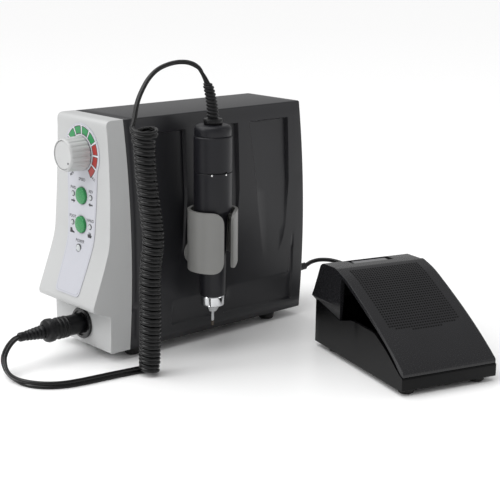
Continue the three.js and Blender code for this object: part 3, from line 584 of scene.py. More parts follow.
housing = cut_away(housing, hollow, *panel_bores(60), bore(60, 9.6, 0, PLUG_Z, 32))
piece_of("housing_moulding", housing, abs_light_grey, "control_box", "front_housing")

# ---------------------------------------------------------------- case shell
# The dark half of the box: one deep shell of satin black ABS, crowned on every side. Three tapered
# recesses run down each flank, with two shallow panels under them, and its back carries the sockets.
# satin black ABS with a fine spark texture, greyer where light grazes it
abs_satin_black = moulded(
    "abs_satin_black", "#18181B", "#1E1E22", 0.36, 0.05, 30, 0.55, 0.012, IOR=1.54, Specular_IOR_Level=0.38
)
shell = bmesh.new()
bmesh.ops.create_cube(shell, size=1)
bmesh.ops.transform(
    shell, verts=shell.verts,
    matrix=Matrix.Translation((0, (SEAM_Y + REAR_Y) / 2, (BASE_Z + TOP_Z) / 2))
    @ Matrix.Diagonal((2 * SIDE, REAR_Y - SEAM_Y, TOP_Z - BASE_Z, 1)),
)
open_sides = [f for f in shell.faces if f.normal.y < -0.9 or f.normal.z < -0.9]
bmesh.ops.delete(shell, geom=open_sides, context="FACES_ONLY")
soften(shell, [e for e in shell.edges if len(e.link_faces) == 2], 1.3, 4)
slice_at(shell, (0, 0, 1), [(0, 0, z) for z in range(16, 168, 8)])
slice_at(shell, (0, 1, 0), [(0, y, 0) for y in range(-72, 80, 12)])
STRIP = ((31, 158.7), (70.8, 158.6), (70.3, 110), (66.5, 74), (59, 54), (44.3, 48.5))
STRIP_DEPTH, PANEL_DEPTH = 2.9, 1.3
recesses = []  # outline in (y, z), and depth at a point
for shift in (0, -50.2, -99.8):

    def strip_depth(y, z, shift=shift):
        """Deepest along the strip's rear edge, and running out towards its foot."""
        front_edge = 31 + 13.3 * (158.7 - z) / 110 + shift
        across = clamp((y - front_edge) / (70.5 + shift - front_edge))
        return STRIP_DEPTH * (0.3 + 0.7 * across) * clamp((z - 56) / 75) ** 0.8

    recesses.append(([(y + shift, z) for y, z in STRIP], strip_depth))
recesses.append((
    [(3.7, 17), (74.4, 15), (74.8, 79), (70.5, 37), (7.9, 37.3)],
    lambda y, z: PANEL_DEPTH * clamp((37.5 - z) / 14) + 0.9 * clamp((y - 62) / 9) * min(1, (82 - z) / 30),
))
recesses.append((
    [(-46, 17.6), (-8.7, 17.2), (-8.9, 36), (-45, 36)],
    lambda y, z: PANEL_DEPTH * clamp((36 - z) / 14),
))


def sides_of(outline):
    """The pairs of corners that an outline's sides join."""
    return list(zip(outline, outline[1:] + outline[:1]))


def inside(outline, y, z):
    """Whether a point is inside an outline."""
    hit = False
    for (y0, z0), (y1, z1) in sides_of(outline):
        if (z0 > z) != (z1 > z) and y < (y1 - y0) * (z - z0) / (z1 - z0) + y0:
            hit = not hit
    return hit


RISE = 1.1  # width of a recess's sloping wall
for outline, depth in recesses:
    low_y, high_y = min(p[0] for p in outline) - 8, max(p[0] for p in outline) + 8
    low_z, high_z = min(p[1] for p in outline) - 6, max(p[1] for p in outline) + 6
    for (y0, z0), (y1, z1) in sides_of(outline):
        out = Vector((0, z1 - z0, y0 - y1)).normalized()
        for step in (0, RISE):
            near = [
                f for f in shell.faces
                if abs(f.normal.x) > 0.99 and low_y < f.calc_center_median().y < high_y
                and low_z < f.calc_center_median().z < high_z
            ]
            slice_at(shell, out, [Vector((0, y0, z0)) - out * step, Vector((0, y0, z0)) + out * step], near)
for v in shell.verts:
    for outline, depth in recesses if abs(v.co.x) > SIDE - 0.01 else ():
        if inside(outline, v.co.y, v.co.z):
            reach = RISE
            for (y0, z0), (y1, z1) in sides_of(outline):
                along = Vector((y1 - y0, z1 - z0))
                t = clamp(Vector((v.co.y - y0, v.co.z - z0)).dot(along) / along.length_squared)
                reach = min(reach, math.hypot(v.co.y - y0 - along.x * t, v.co.z - z0 - along.y * t))
            v.co.x -= math.copysign(max(0, depth(v.co.y, v.co.z)) * reach / RISE, v.co.x)
            break
INLET = (-13, 132, 24.6, 17.6)  # middle x and z, width and height of its hole
SWITCH = (14, 132, 14.6, 20.6)
vents = [(0, z, 34, 2.2) for z in range(48, 84, 5)]
for x, z, w, h in (INLET, SWITCH, *vents):
    for normal, places in (
        ((1, 0, 0), [(x - w / 2, 0, 0), (x + w / 2, 0, 0)]),
        ((0, 0, 1), [(0, 0, z - h / 2), (0, 0, z + h / 2)]),
    ):
        slice_at(shell, normal, places, [f for f in shell.faces if f.normal.y > 0.99])
    gone = [
        f for f in shell.faces if f.normal.y > 0.99
        and abs(f.calc_center_median().x - x) < w / 2 and abs(f.calc_center_median().z - z) < h / 2
    ]
    bmesh.ops.delete(shell, geom=gone, context="FACES")
crown(shell, SIDE)
FADE = 12  # how far the bow of an edge reaches into the shell
for v in shell.verts:
    v.co.y += bow(v.co.z, SEAM_BOW) * max(0, 1 - (v.co.y - SEAM_Y) / FADE)
    v.co.y += bow(v.co.z, REAR_BOW) * max(0, 1 - (REAR_Y - v.co.y) / FADE)
case = piece_of("case_shell_moulding", shell, abs_satin_black, "control_box", "case_shell", sharp=28)
thickness = case.modifiers.new("wall", "SOLIDIFY")
thickness.thickness, thickness.offset = WALL * MM, -1

# ---------------------------------------------------------------- feet
# Moulded rubber buttons, pressed into the underside of the box.
# moulded rubber: dead black and dull
rubber_black = moulded("moulded_rubber", "#0D0D0D", "#151515", 0.75, 0.08, 8, 0.5, 0.02)
for n in (1, 2, 3, 4):
    place = (FOOT_X if n % 2 == 0 else -FOOT_X, FOOT_FRONT if n < 3 else FOOT_REAR, 0)
    profile = [(0, 0), (3.9, 0), (4.9, 0.4), (5.6, 1.5), (6.1, 4), (6.2, 7.6), (0, 7.6)]
    button = turned(profile, 40, "z", place)
    piece_of("box_foot_rubber_%d" % n, button, rubber_black, "control_box", "box_foot_%d" % n)

# ---------------------------------------------------------------- panel film
# A printed polycarbonate film on the panel: a round dial scale above a strip for the buttons.
# satin film, a cooler grey than the moulding
film_grey = moulded("printed_film", "#B8B9C0", "#BCBDC4", 0.33, 0.03, 30, 0.4, 0.003, IOR=1.58)
# screen inks: thin, flat and even
ink = {
    name: moulded("ink_" + name, low, high, 0.4, 0.03, 6, 0.4, 0.002)
    for name, low, high in (
        ("white", "#D2D2D6", "#D8D8DC"), ("green", "#23854A", "#2A9052"), ("red", "#9E302B", "#AA3B35"),
        ("dark", "#3A3B40", "#44454B"), ("black", "#1C1D22", "#26272C"), ("line", "#A6A7AF", "#ADAEB6"),
    )
}
FILM, DIAL_RADIUS, STRIP_LOW = 0.5, 21, 46.4


def strip_half(z):
    """The strip's half width, which grows towards the dial."""
    return 14.3 + (z - 46) * 3.7 / 84


def keyhole(inset):
    """The film's outline in (x, z)."""
    radius = DIAL_RADIUS - inset
    meet_z = DIAL_Z - math.sqrt(radius**2 - (strip_half(131) - inset) ** 2)
    start = math.atan2(meet_z - DIAL_Z, strip_half(meet_z) - inset)
    arc = [start + (math.pi - 2 * start) * i / 40 for i in range(41)]
    low = STRIP_LOW + inset
    strip = rounded(
        [
            (-strip_half(meet_z) + inset, meet_z), (-strip_half(low) + inset, low, 3.5),
            (strip_half(low) - inset, low, 3.5), (strip_half(meet_z) - inset, meet_z),
        ],
        5,
    )
    return strip + [Vector((radius * math.cos(a), DIAL_Z + radius * math.sin(a))) for a in arc[1:-1]]


def laid_on_panel(bm, lift, thickness):
    """Bends a flat slab (y from 0 back to 1) onto the panel, its front lifted off it."""
    slice_at(bm, (0, 0, 1), [(0, 0, z) for z in range(44, 168, 3)])
    for v in bm.verts:
        v.co.y = panel_y(v.co.z) - lift + (thickness if v.co.y > 0.5 else 0)
    return bm


film = laid_on_panel(slab(keyhole(0), 0, 1, "xz"), FILM, FILM - 0.02)
film = cut_away(film, *panel_bores(90))
piece_of("panel_film", film, film_grey, "control_box", "panel_overlay")


def join_into(target, extra, material_index):
    """Adds a shape to another, with its own material."""
    for f in extra.faces:
        f.material_index = material_index
    mesh = bpy.data.meshes.new("part")
    extra.to_mesh(mesh)
    extra.free()
    target.from_mesh(mesh)
    bpy.data.meshes.remove(mesh)


def sector(inner, outer, start, end, x=0, z=DIAL_Z):
    """A stretch of ring, its angles in degrees clockwise from the top."""
    angles = [math.radians(start + (end - start) * i / 8) for i in range(9)]
    return [Vector((x + outer * math.sin(a), z + outer * math.cos(a))) for a in angles] + [
        Vector((x + inner * math.sin(a), z + inner * math.cos(a))) for a in reversed(angles)
    ]


inks = list(ink)
printing = bmesh.new()


def printed(outline, colour, level):
    """A patch of ink on the film, higher levels over lower ones."""
    shape = slab(outline, 0, 1, "xz")
    slice_at(shape, (0, 0, 1), [(0, 0, z) for z in range(45, 168, 3)])
    for v in shape.verts:
        v.co.y = panel_y(v.co.z) - FILM - (0.02 * level if v.co.y < 0.5 else -0.1)
    join_into(printing, shape, inks.index(colour))


outer_line, inner_line = keyhole(1.0), keyhole(1.35)
for i in range(len(outer_line)):
    j = (i + 1) % len(outer_line)
    quad = [outer_line[i], outer_line[j], inner_line[j], inner_line[i]]
    if (outer_line[i] - outer_line[j]).length > 0.01:
        printed(quad, "line", 1)
FIRST, STEP, SPAN = -131, 29.5, 22.5  # degrees: the scale's first window, their spacing and their span
for start, end in ((-143, -1), (-1, 147)):
    printed(sector(12.4, 20.0, start, end), "white", 1)
for n in range(10):
    low, high = FIRST + STEP * n - SPAN / 2, FIRST + STEP * n + SPAN / 2
    printed(sector(13.2, 19.2, low - 1.6, high + 1.6), "dark", 2)
    printed(sector(13.9, 18.6, low, high), "green" if n < 7 else "red", 3)


def printed_word(word, x, z, height, lean):
    """A word on the panel, centred on x, its letters this high (mm), leaning by an angle."""
    curve = bpy.data.curves.new("word", "FONT")
    curve.body, curve.align_x, curve.align_y, curve.size = word, "CENTER", "CENTER", height / 0.7
    curve.resolution_u = 2
    curve.offset = 0.02 * curve.size
    carrier = shown("word", curve)
    bpy.context.view_layer.update()
    flat = bpy.data.meshes.new_from_object(carrier.evaluated_get(bpy.context.evaluated_depsgraph_get()))
    bpy.data.objects.remove(carrier)
    letters = bmesh.new()
    letters.from_mesh(flat)
    bpy.data.meshes.remove(flat)
    bmesh.ops.remove_doubles(letters, verts=letters.verts, dist=1e-5)
    moved = bmesh.ops.extrude_face_region(letters, geom=list(letters.faces))["geom"]
    tops = {g for g in moved if isinstance(g, bmesh.types.BMVert)}
    turn_by = Matrix.Rotation(math.radians(-lean), 2)
    for v in letters.verts:
        flat_place = turn_by @ Vector((v.co.x, v.co.y))
        level = 0.03 if v in tops else -0.1
        v.co = (x + flat_place.x, panel_y(z + flat_place.y) - FILM - level, z + flat_place.y)
    join_into(printing, letters, inks.index("black"))


for word, x, z, height, lean in (
    ("SPEED", 0, 126.0, 2.1, 0), ("MIN", -12.4, 128.4, 1.9, -32), ("MAX", 13.0, 128.8, 1.9, 32),
    ("FWD", -LAMP_X, 118.9, 2.1, 0), ("REV", LAMP_X, 118.9, 2.1, 0), ("FOOT", -LAMP_X, 98.5, 2.1, 0),
    ("HAND", LAMP_X, 98.5, 2.1, 0), ("POWER", 0, 82.4, 2.1, 0),
):
    printed_word(word, x, z, height, lean)
SYMBOL = 1.25  # size of the symbols against their drawings
arrow = [(1.9, 0.45), (-0.3, 0.45), (-0.3, 1.25), (-2.1, 0), (-0.3, -1.25), (-0.3, -0.45), (1.9, -0.45)]
for x, sense in ((-LAMP_X, 1), (LAMP_X, -1)):
    outline = [Vector((x - sense * SYMBOL * u, 109.6 + SYMBOL * v)) for u, v in arrow[::-sense]]
    printed(outline, "black", 1)
shoe = [(-2.1, -1.2), (2.2, -1.2), (2.2, -0.5), (0.9, 0.0), (0.2, 0.2), (-0.3, 1.5), (-2.1, 1.5)]
hand = [
    (-1.7, -1.4), (1.5, -1.4), (2.0, 0.1), (1.1, 0.2), (1.0, 1.5), (0.4, 1.5), (0.1, 0.3), (-0.5, 1.7),
    (-1.1, 1.6), (-1.0, 0.2), (-1.8, 0.7), (-2.2, 0.2),
]
for x, symbol in ((-LAMP_X, shoe), (LAMP_X, hand)):
    printed([Vector((x + SYMBOL * u, 88.2 + SYMBOL * v)) for u, v in symbol], "black", 1)
for z in BUTTON_Z:
    for start in (0, 180):
        printed(sector(6.3, 6.9, start, start + 180, 0, z), "line", 1)
piece_of("panel_printing", printing, list(ink.values()), "control_box", sharp=50)

# ---------------------------------------------------------------- push buttons and lamps
# Two domed green buttons of ABS, each between a pair of small lamps; below them the power lamp.
# polished ABS, coloured through
abs_green = moulded("abs_green", "#1E7C41", "#26884B", 0.26, 0.03, 5, 0.4, 0.0015, IOR=1.54)
for name, z in zip(("direction_button", "mode_button"), BUTTON_Z):
    face = -panel_y(z)
    dome = [(0, face - 11), (2.6, face - 11), (2.6, face - 4.6), (5.9, face - 4.6), (5.9, face + 1.7)]
    dome += [(5.9 - 0.55 * (1 - math.cos(a)), face + 1.7 + 0.55 * math.sin(a)) for a in (0.5, 1.0, 1.4)]
    dome += [(4.2, face + 2.5), (2.2, face + 2.72), (0, face + 2.8)]
    piece_of(name + "_cap", turned(dome, 48, "-y", (0, 0, z)), abs_green, name, name)
# clear lens over an unlit diode: pale and glossy, with a dark ring where it enters the panel
lens = moulded("clear_lens", "#B4B8BA", "#C3C7C8", 0.16, 0.03, 2, 0.3, 0.002, IOR=1.5)
ring_dark = moulded("lamp_ring", "#2A2B2E", "#333438", 0.4, 0.05, 3, 0.3, 0.004)
for name, x, z, radius in (
    ("forward", -LAMP_X, BUTTON_Z[0], 1.5), ("reverse", LAMP_X, BUTTON_Z[0], 1.5),
    ("foot", -LAMP_X, BUTTON_Z[1], 1.5), ("hand", LAMP_X, BUTTON_Z[1], 1.5), ("power", 0, POWER_Z, 2.5),
):
    face = -panel_y(z)
    body = turned(
        [
            (0, face - 7), (radius, face - 7), (radius, face + 0.9), (radius * 0.8, face + 1.25),
            (radius * 0.4, face + 1.42), (0, face + 1.45),
        ],
        28, "-y", (x, 0, z),
    )
    low, high = radius + 0.08, radius + 0.5
    heights = ((low, 0.3), (high, 0.3), (high, 0.72), (low, 0.8), (low, 0.3))
    join_into(body, turned([(r, face + h) for r, h in heights], 28, "-y", (x, 0, z)), 1)
    piece_of("lamp_%s_lens" % name, body, [lens, ring_dark], "control_box", "lamp_" + name)

# ---------------------------------------------------------------- speed knob
# A tall tapered knob of light grey ABS with fluted sides, a rolled front rim and an inset cap that
# carries the pointer. It turns the potentiometer's steel shaft.
KNOB_RADIUS, FLUTES, FLUTE_STEPS = 12.15, 20, 8
dial_face = -panel_y(DIAL_Z) + 0.8
knob = bmesh.new()
fluted = []
for i in range(FLUTES * FLUTE_STEPS):
    angle = 2 * math.pi * i / (FLUTES * FLUTE_STEPS)
    radius = KNOB_RADIUS - 0.55 * max(0, math.cos(angle * FLUTES)) ** 2
    fluted.append(knob.verts.new((radius * math.cos(angle), radius * math.sin(angle), 0.6)))
ring_face, last_scale = knob.faces.new(fluted), 1.0
for scale, height in (
    (1.0, 2.0), (0.955, 13.2), (0.94, 14.4), (0.905, 15.3), (0.87, 15.55), (0.848, 15.35), (0.835, 13.9),
):
    grown = bmesh.ops.extrude_discrete_faces(knob, faces=[ring_face])["faces"][0]
    for v in grown.verts:
        plain = clamp((height - 13) / 1.5)  # the flutes run out at the rim
        reach = math.hypot(v.co.x, v.co.y)
        goal = (reach * (1 - plain) + KNOB_RADIUS * last_scale * plain) * scale / last_scale
        v.co.x, v.co.y, v.co.z = v.co.x * goal / reach, v.co.y * goal / reach, height
    ring_face, last_scale = grown, scale
bmesh.ops.remove_doubles(knob, verts=knob.verts, dist=1e-4)
knob.transform(Matrix.Translation((0, -dial_face, DIAL_Z)) @ Matrix.Rotation(math.pi / 2, 4, "X"))
# satin ABS in the housing's grey
abs_knob = moulded("abs_knob_grey", "#B8B9B9", "#BFC0C0", 0.36, 0.04, 12, 0.5, 0.008, IOR=1.54)
piece_of("knob_body", knob, abs_knob, "speed_knob", "speed_knob", sharp=38)
cap_front = dial_face + 15.1
cap_profile = [(0, -1.2), (10.0, -1.2), (10.0, -0.35), (9.6, 0), (0, 0)]
cap = turned([(r, cap_front + h) for r, h in cap_profile], 64, "-y", (0, 0, DIAL_Z))
POINTER_AT, POINTER_ANGLE = 7.9, math.radians(129)
pointer = turned(
    [(r, cap_front + h) for r, h in ((0, -0.2), (0.75, -0.2), (0.75, 0.14), (0, 0.16))], 20, "-y",
    (POINTER_AT * math.sin(POINTER_ANGLE), 0, DIAL_Z + POINTER_AT * math.cos(POINTER_ANGLE)),
)
join_into(cap, pointer, 1)
piece_of("knob_cap_disc", cap, [abs_knob, ink["dark"]], "speed_knob", "knob_cap")
shaft_profile = [(0, -8), (2.9, -8), (2.9, 11.5), (2.5, 12), (0, 12)]
knob_shaft = turned([(r, dial_face + h) for r, h in shaft_profile], 28, "-y", (0, 0, DIAL_Z))

# ---------------------------------------------------------------- handpiece socket and plug
# A glossy black flange screwed into the plug block, the moulded plug that enters it, and the plug's
# ribbed boot. The plug's body has three raised rings and a thicker collar where the boot starts.
# hard glossy plastic for the socket, softer satin PVC for the plug
pbt_gloss_black = moulded(
    "pbt_gloss_black", "#0B0B0C", "#121213", 0.2, 0.05, 6, 0.4, 0.004, IOR=1.57, Specular_IOR_Level=0.4
)
pvc_satin_black = moulded(
    "pvc_satin_black", "#0D0D0E", "#141416", 0.36, 0.05, 6, 0.5, 0.003, IOR=1.53, Specular_IOR_Level=0.25
)
block = 99.05  # how far the plug block's face stands ahead of the middle
socket = turned(
    [
        (6.2, block - 16), (9.2, block - 16), (9.2, block + 0.1), (11.1, block + 0.1), (11.35, block + 0.6),
        (11.35, block + 1.7), (10.9, block + 2.4), (9.2, block + 2.6), (8.9, block + 1.2), (6.2, block + 1.0),
        (6.2, block - 16),
    ],
    56, "-y", (0, 0, PLUG_Z),
)
piece_of("socket_flange", socket, pbt_gloss_black, "control_box", "handpiece_socket", sharp=40)
plug_profile = [
    (0, block - 8), (5.6, block - 8), (5.6, block + 1.4), (7.0, block + 1.4), (7.35, block + 2.2),
    (7.3, block + 12),
]
for ring_start in (113.6, 116.8, 120.0):
    plug_profile += [(r, ring_start + h) for r, h in ((7.35, 0), (7.85, 0.5), (7.85, 1.4), (7.3, 2.0))]
plug_profile += [(7.4, 124.6), (8.3, 125.6), (8.45, 128.8), (7.7, 130.6), (5.4, 131.4), (5.2, 133), (0, 133)]
plug = turned(plug_profile, 56, "-y", (0, 0, PLUG_Z))
plug_piece = piece_of("handpiece_plug", plug, pvc_satin_black, "control_box", "plug_shell", sharp=40)


def ribbed(start, end, low, high, ribs, depth):
    """The profile of a ribbed boot, its radius falling from low to high."""
    profile, pitch = [], (end - start) / ribs
    for i in range(ribs):
        radius, place = low + (high - low) * i / (ribs - 1), start + i * pitch
        for cut, along in ((depth, 0), (0.15, 0.16), (0, 0.3), (0, 0.6), (0.15, 0.72), (depth, 0.86)):
            profile.append((radius - cut, place + along * pitch))
    return profile


boot_profile = [(0, 132.6), (4.7, 132.6), *ribbed(133.2, 147, 4.9, 3.6, 5, 0.75)]
boot_profile += [(2.9, 147.2), (3.3, 147.8), (3.25, 151.2), (2.8, 152), (0, 152)]
boot = turned(boot_profile, 40, "-y", (0, 0, PLUG_Z))
plug_boot = piece_of("plug_boot_ribbed", boot, pvc_satin_black, "control_box", "plug_boot", sharp=40)

# ---------------------------------------------------------------- cradle
# A split tube of grey polypropylene that holds the handpiece, moulded with a round boss that screws
# to the flank of the box. The two lips of its slot are rounded where they meet the ends.
HAND_X, HAND_Y = 56, -25.3
CRADLE_R, SLOT = 17.9, 13.6  # its outer radius, and half the slot in degrees
# plain satin polypropylene
pp_grey = moulded("polypropylene_grey", "#7B7B79", "#838381", 0.36, 0.05, 25, 0.6, 0.01, IOR=1.49)
arc_start, arc_end = SLOT * math.pi / 180 * CRADLE_R, (360 - SLOT) * math.pi / 180 * CRADLE_R
SHEET_LOW, SHEET_HIGH, LIP = 62.2, 105, 9.5
unrolled = rounded(
    [
        (arc_start, SHEET_LOW + 0.6, 3.2), (arc_end, SHEET_LOW - 0.8, LIP), (arc_end, SHEET_HIGH, LIP),
        (arc_start, SHEET_HIGH, LIP * 0.9),
    ],
    8,
)
cradle = bmesh.new()
cradle.faces.new([cradle.verts.new((p.x, 0, p.y)) for p in unrolled])
slice_at(cradle, (1, 0, 0), [(a * math.pi / 180 * CRADLE_R, 0, 0) for a in range(16, 360, 4)])
slice_at(cradle, (0, 0, 1), [(0, 0, z) for z in (72, 78, 84, 90, 96)])
for v in cradle.verts:
    angle = v.co.x / CRADLE_R
    rise = 0  # the lower edge arches up on the side away from the box's front
    if angle < math.pi:
        rise = 9 * math.sin(min(math.pi, max(0, (angle - 0.2) * 1.15))) * max(0, (100 - v.co.z) / 38) ** 2
    v.co = (HAND_X + CRADLE_R * math.cos(angle), HAND_Y + CRADLE_R * math.sin(angle), v.co.z + rise)
cradle_piece = piece_of("cradle_tube", cradle, pp_grey, "control_box", "cradle", sharp=60)
wall = cradle_piece.modifiers.new("wall", "SOLIDIFY")
wall.thickness, wall.offset, wall.use_even_offset = 2.2 * MM, -1, True


def ease_edges(piece, width, segments, angle):
    """Rounds the edges of a finished piece that are sharper than an angle, over a width (mm)."""
    modifier = piece.modifiers.new("edges", "BEVEL")
    modifier.width, modifier.segments, modifier.limit_method = width * MM, segments, "ANGLE"
    modifier.angle_limit, modifier.harden_normals = math.radians(angle), True


ease_edges(cradle_piece, 0.8, 3, 55)
BOSS_X, BOSS_Z = 34.4, 69.8
boss_profile = [(0, BOSS_X), (8.7, BOSS_X), (8.7, 39.4), (8.2, 40.2), (7.2, 40.6), (0, 40.6)]
boss = turned(boss_profile, 48, "x", (0, HAND_Y, BOSS_Z))
piece_of("cradle_boss", boss, pp_grey, "control_box")


def cut_flat(bm, place, normal):
    """Takes away what lies past a plane, and closes the cut."""
    bmesh.ops.bisect_plane(
        bm, geom=[*bm.verts, *bm.edges, *bm.faces], plane_co=place, plane_no=normal, clear_outer=True
    )
    bmesh.ops.holes_fill(bm, edges=[e for e in bm.edges if len(e.link_faces) == 1], sides=0)


hand_place = (HAND_X, HAND_Y, 0)
ledge = turned([(11.6, 98), (15.9, 98), (15.9, 99.6), (11.6, 99.6), (11.6, 98)], 64, "z", hand_place)
cut_flat(ledge, (HAND_X + 9, 0, 0), (1, 0, 0))
piece_of("cradle_ledge", ledge, pp_grey, "control_box")

# ---------------------------------------------------------------- handpiece
# Turned aluminium with a matt black coating: a rear cap, a motor barrel, and a sleeve that twists in
# a short window to open the collet. The sleeve steps down to a slimmer grip.
# powder-fine matt coat over aluminium
coated_black = moulded(
    "coated_aluminium_black", "#131317", "#19191E", 0.4, 0.04, 20, 0.35, 0.002,
    IOR=1.5, Specular_IOR_Level=0.3,
)
# a spot of white paint, filled into a drilled dimple
paint_white = moulded("paint_white", "#E8E8E8", "#F2F2F2", 0.4, 0.03, 1, 0.3, 0.002)
rear_cap = turned(
    [
        (4.6, 157.15), (12.9, 157.15), (13.05, 157.4), (13.05, 161.2), (12.75, 162.7), (11.95, 163.9),
        (10.7, 164.5), (9.3, 164.7), (4.6, 164.7), (4.6, 157.15),
    ],
    72, "z", hand_place,
)
piece_of("rear_cap_turned", rear_cap, coated_black, "handpiece", "rear_cap")
SEAM_Z = 131.6
barrel = turned(
    [
        (11.7, SEAM_Z + 0.35), (13.3, SEAM_Z + 0.35), (13.5, SEAM_Z + 0.6), (13.5, 156.2), (13.1, 156.8),
        (12.5, 156.95), (11.7, 156.95), (11.7, SEAM_Z + 0.35),
    ],
    96, "z", hand_place,
)
window_line = [
    Vector((HAND_X + r * math.cos(math.radians(a)), HAND_Y + r * math.sin(math.radians(a))))
    for r, angles in ((14.5, range(-46, 8, 4)), (12.5, range(6, -50, -4))) for a in angles
]
barrel = cut_away(barrel, slab(window_line, SEAM_Z - 1, SEAM_Z + 1.5, "xy"))
piece_of("rear_barrel_turned", barrel, coated_black, "handpiece", "rear_barrel")
sleeve = turned(
    [
        (7.2, 42.4), (9.1, 42.4), (9.25, 42.7), (9.6, 77), (10.5, 99.2), (10.9, 101), (11.9, 102.8),
        (12.9, 103.6), (13.4, 104.2), (13.5, 104.9), (13.5, SEAM_Z - 0.3), (13.3, SEAM_Z), (11.7, SEAM_Z),
        (11.7, 105.8), (8.2, 99.8), (7.2, 76), (7.2, 42.4),
    ],
    96, "z", hand_place,
)
for angle in (-43, 3):
    dot = turned([(0, 12.9), (0.62, 12.9), (0.62, 13.6), (0.4, 13.66), (0, 13.68)], 16)
    dot.transform(
        Matrix.Translation((HAND_X, HAND_Y, SEAM_Z - 0.75)) @ Matrix.Rotation(math.radians(angle), 4, "Z")
        @ Matrix.Rotation(math.pi / 2, 4, "Y")
    )
    join_into(sleeve, dot, 1)
sleeve_finish = [coated_black, paint_white]
piece_of("twist_sleeve_turned", sleeve, sleeve_finish, "front_sleeve", "front_sleeve")

# ---------------------------------------------------------------- nose, collet and bit
# A chromed brass collar with spanner flats, the collet's cone under it, and a bit whose head is
# ground with fine flutes.
# chrome plate: mirror bright, with a faint smear from handling
chrome = start_material("chrome_plate", Metallic=1)
place = add_node(chrome, "TexCoord").outputs["Object"]
smear = add_node(chrome, "TexNoise", Vector=place, Scale=260.0, Detail=3.0).outputs["Fac"]
chrome_gloss = add_node(chrome, "MapRange", Value=smear, To_Min=0.07, To_Max=0.2)
feed(chrome, Base_Color=two_tone(chrome, smear, "#C9CBCD", "#DADBDD"), Roughness=chrome_gloss.outputs[0])
collar = turned(
    [
        (2.2, 30), (2.9, 30), (3.2, 30.4), (5.4, 33.9), (5.9, 34.3), (7.7, 34.6), (8.3, 35.0), (8.5, 35.6),
        (8.5, 41.3), (8.2, 41.9), (7.0, 42.1), (6.7, 42.1), (6.7, 56), (5.2, 56), (5.2, 37.3), (2.2, 32.4),
        (2.2, 30),
    ],
    72, "z", hand_place,
)
SPANNER = 7.6  # how far its two spanner flats stand off its middle
for flat_angle in (-70, 110):
    direction = Vector((math.cos(math.radians(flat_angle)), math.sin(math.radians(flat_angle)), 0))
    for v in collar.verts:
        away = (v.co - Vector(hand_place)).dot(direction)
        if 35.3 < v.co.z < 39.5 and away > SPANNER:
            v.co -= direction * (away - SPANNER)
piece_of("nose_collar_chromed", collar, chrome, "front_sleeve", "nose_collar", sharp=25)


def bright_steel(name, low, high, roughness, streak):
    """Ground steel: the tone and gloss drift along fine tool marks (mm apart)."""
    material = start_material(name, Metallic=1)
    place = add_node(material, "TexCoord").outputs["Object"]
    squeezed = add_node(material, "Mapping", Vector=place, Scale=(0.2, 0.2, 1)).outputs[0]
    noise = add_node(material, "TexNoise", Vector=squeezed, Scale=1 / (streak * MM), Detail=3.0)
    marks = noise.outputs["Fac"]
    gloss = add_node(material, "MapRange", Value=marks, To_Min=roughness - 0.06, To_Max=roughness + 0.08)
    feed(material, Base_Color=two_tone(material, marks, low, high), Roughness=gloss.outputs[0])
    return material


# ground shafts and pins: bright, with fine tool marks
steel = bright_steel("ground_steel", "#A9ABAD", "#C2C4C6", 0.22, 0.4)
# the bit's head: darker, as carbide is between its cutting edges
burr_steel = bright_steel("carbide_burr", "#4A4540", "#6A625A", 0.4, 0.2)
piece_of("knob_shaft_turned", knob_shaft, steel, "speed_knob", "knob_shaft")
bit = turned([(0, 58), (1.17, 58), (1.17, 23), (0.9, 22.6), (0.9, 22.3), (0, 22.3)], 24, "z", hand_place)
burr = bmesh.new()
bmesh.ops.create_cone(burr, cap_ends=True, cap_tris=False, segments=16, radius1=0.85, radius2=1.15, depth=3.4)
for v in burr.verts:
    angle = math.atan2(v.co.y, v.co.x)
    v.co.x, v.co.y = v.co.x * (1 + 0.1 * math.cos(8 * angle)), v.co.y * (1 + 0.1 * math.cos(8 * angle))
slice_at(burr, (0, 0, 1), [(0, 0, z) for z in (-1, -0.3, 0.4, 1.1)])
for v in burr.verts:
    twist = Matrix.Rotation(v.co.z * 0.35, 3, "Z")
    v.co = twist @ v.co
burr.transform(Matrix.Translation((HAND_X, HAND_Y, 20.7)))
join_into(bit, burr, 1)
piece_of("bit_ground", bit, [steel, burr_steel], "spindle", "nail_bit", sharp=40)

# ---------------------------------------------------------------- handpiece boot
# A soft PVC boot moulded on the cord, with a round flange in the cap. Its ribs let it lean over
# towards the arch of the cord.
boot_profile = [
    (0, 160.8), (4.2, 160.8), (4.2, 164.9), (6.4, 164.9), (6.6, 165.2), (6.6, 168.2), (6.3, 168.7),
    (4.2, 169.0), (3.6, 169.4), *ribbed(169.8, 191.6, 4.3, 3.75, 9, 0.7),
    (2.9, 191.7), (3.2, 192.0), (3.2, 192.6), (2.7, 193), (0, 193),
]
hand_boot = turned(boot_profile, 40, "z", hand_place)
for v in hand_boot.verts:
    lean = max(0, (v.co.z - 168) / 25)
    v.co.x -= 2.5 * lean**1.8
    v.co.y -= 2.9 * lean**1.8
hand_boot_piece = piece_of(
    "handpiece_boot_ribbed", hand_boot, pvc_satin_black, "handpiece", "handpiece_boot", sharp=40
)

# ---------------------------------------------------------------- pedal
# Two mouldings of polished black ABS: a tub that stands on rubber feet, and a treadle hinged at its
# low end. The treadle's high end is a hood whose flared skirt comes down outside the tub.
PEDAL = TO_FRAME @ pedal_turn
L, W = 117, 75.3  # length from its back to the low end, and width
# polished black ABS with a faint haze from handling; its colour is painted darker than the treadle's copy of
# the same ABS, as painted shade on the tub's sides
abs_black_painted_shade = moulded(
    "abs_black_painted_shade", "#060607", "#0A0A0B", 0.22, 0.05, 22, 0.8, 0.003, IOR=1.54, Specular_IOR_Level=0.13
)
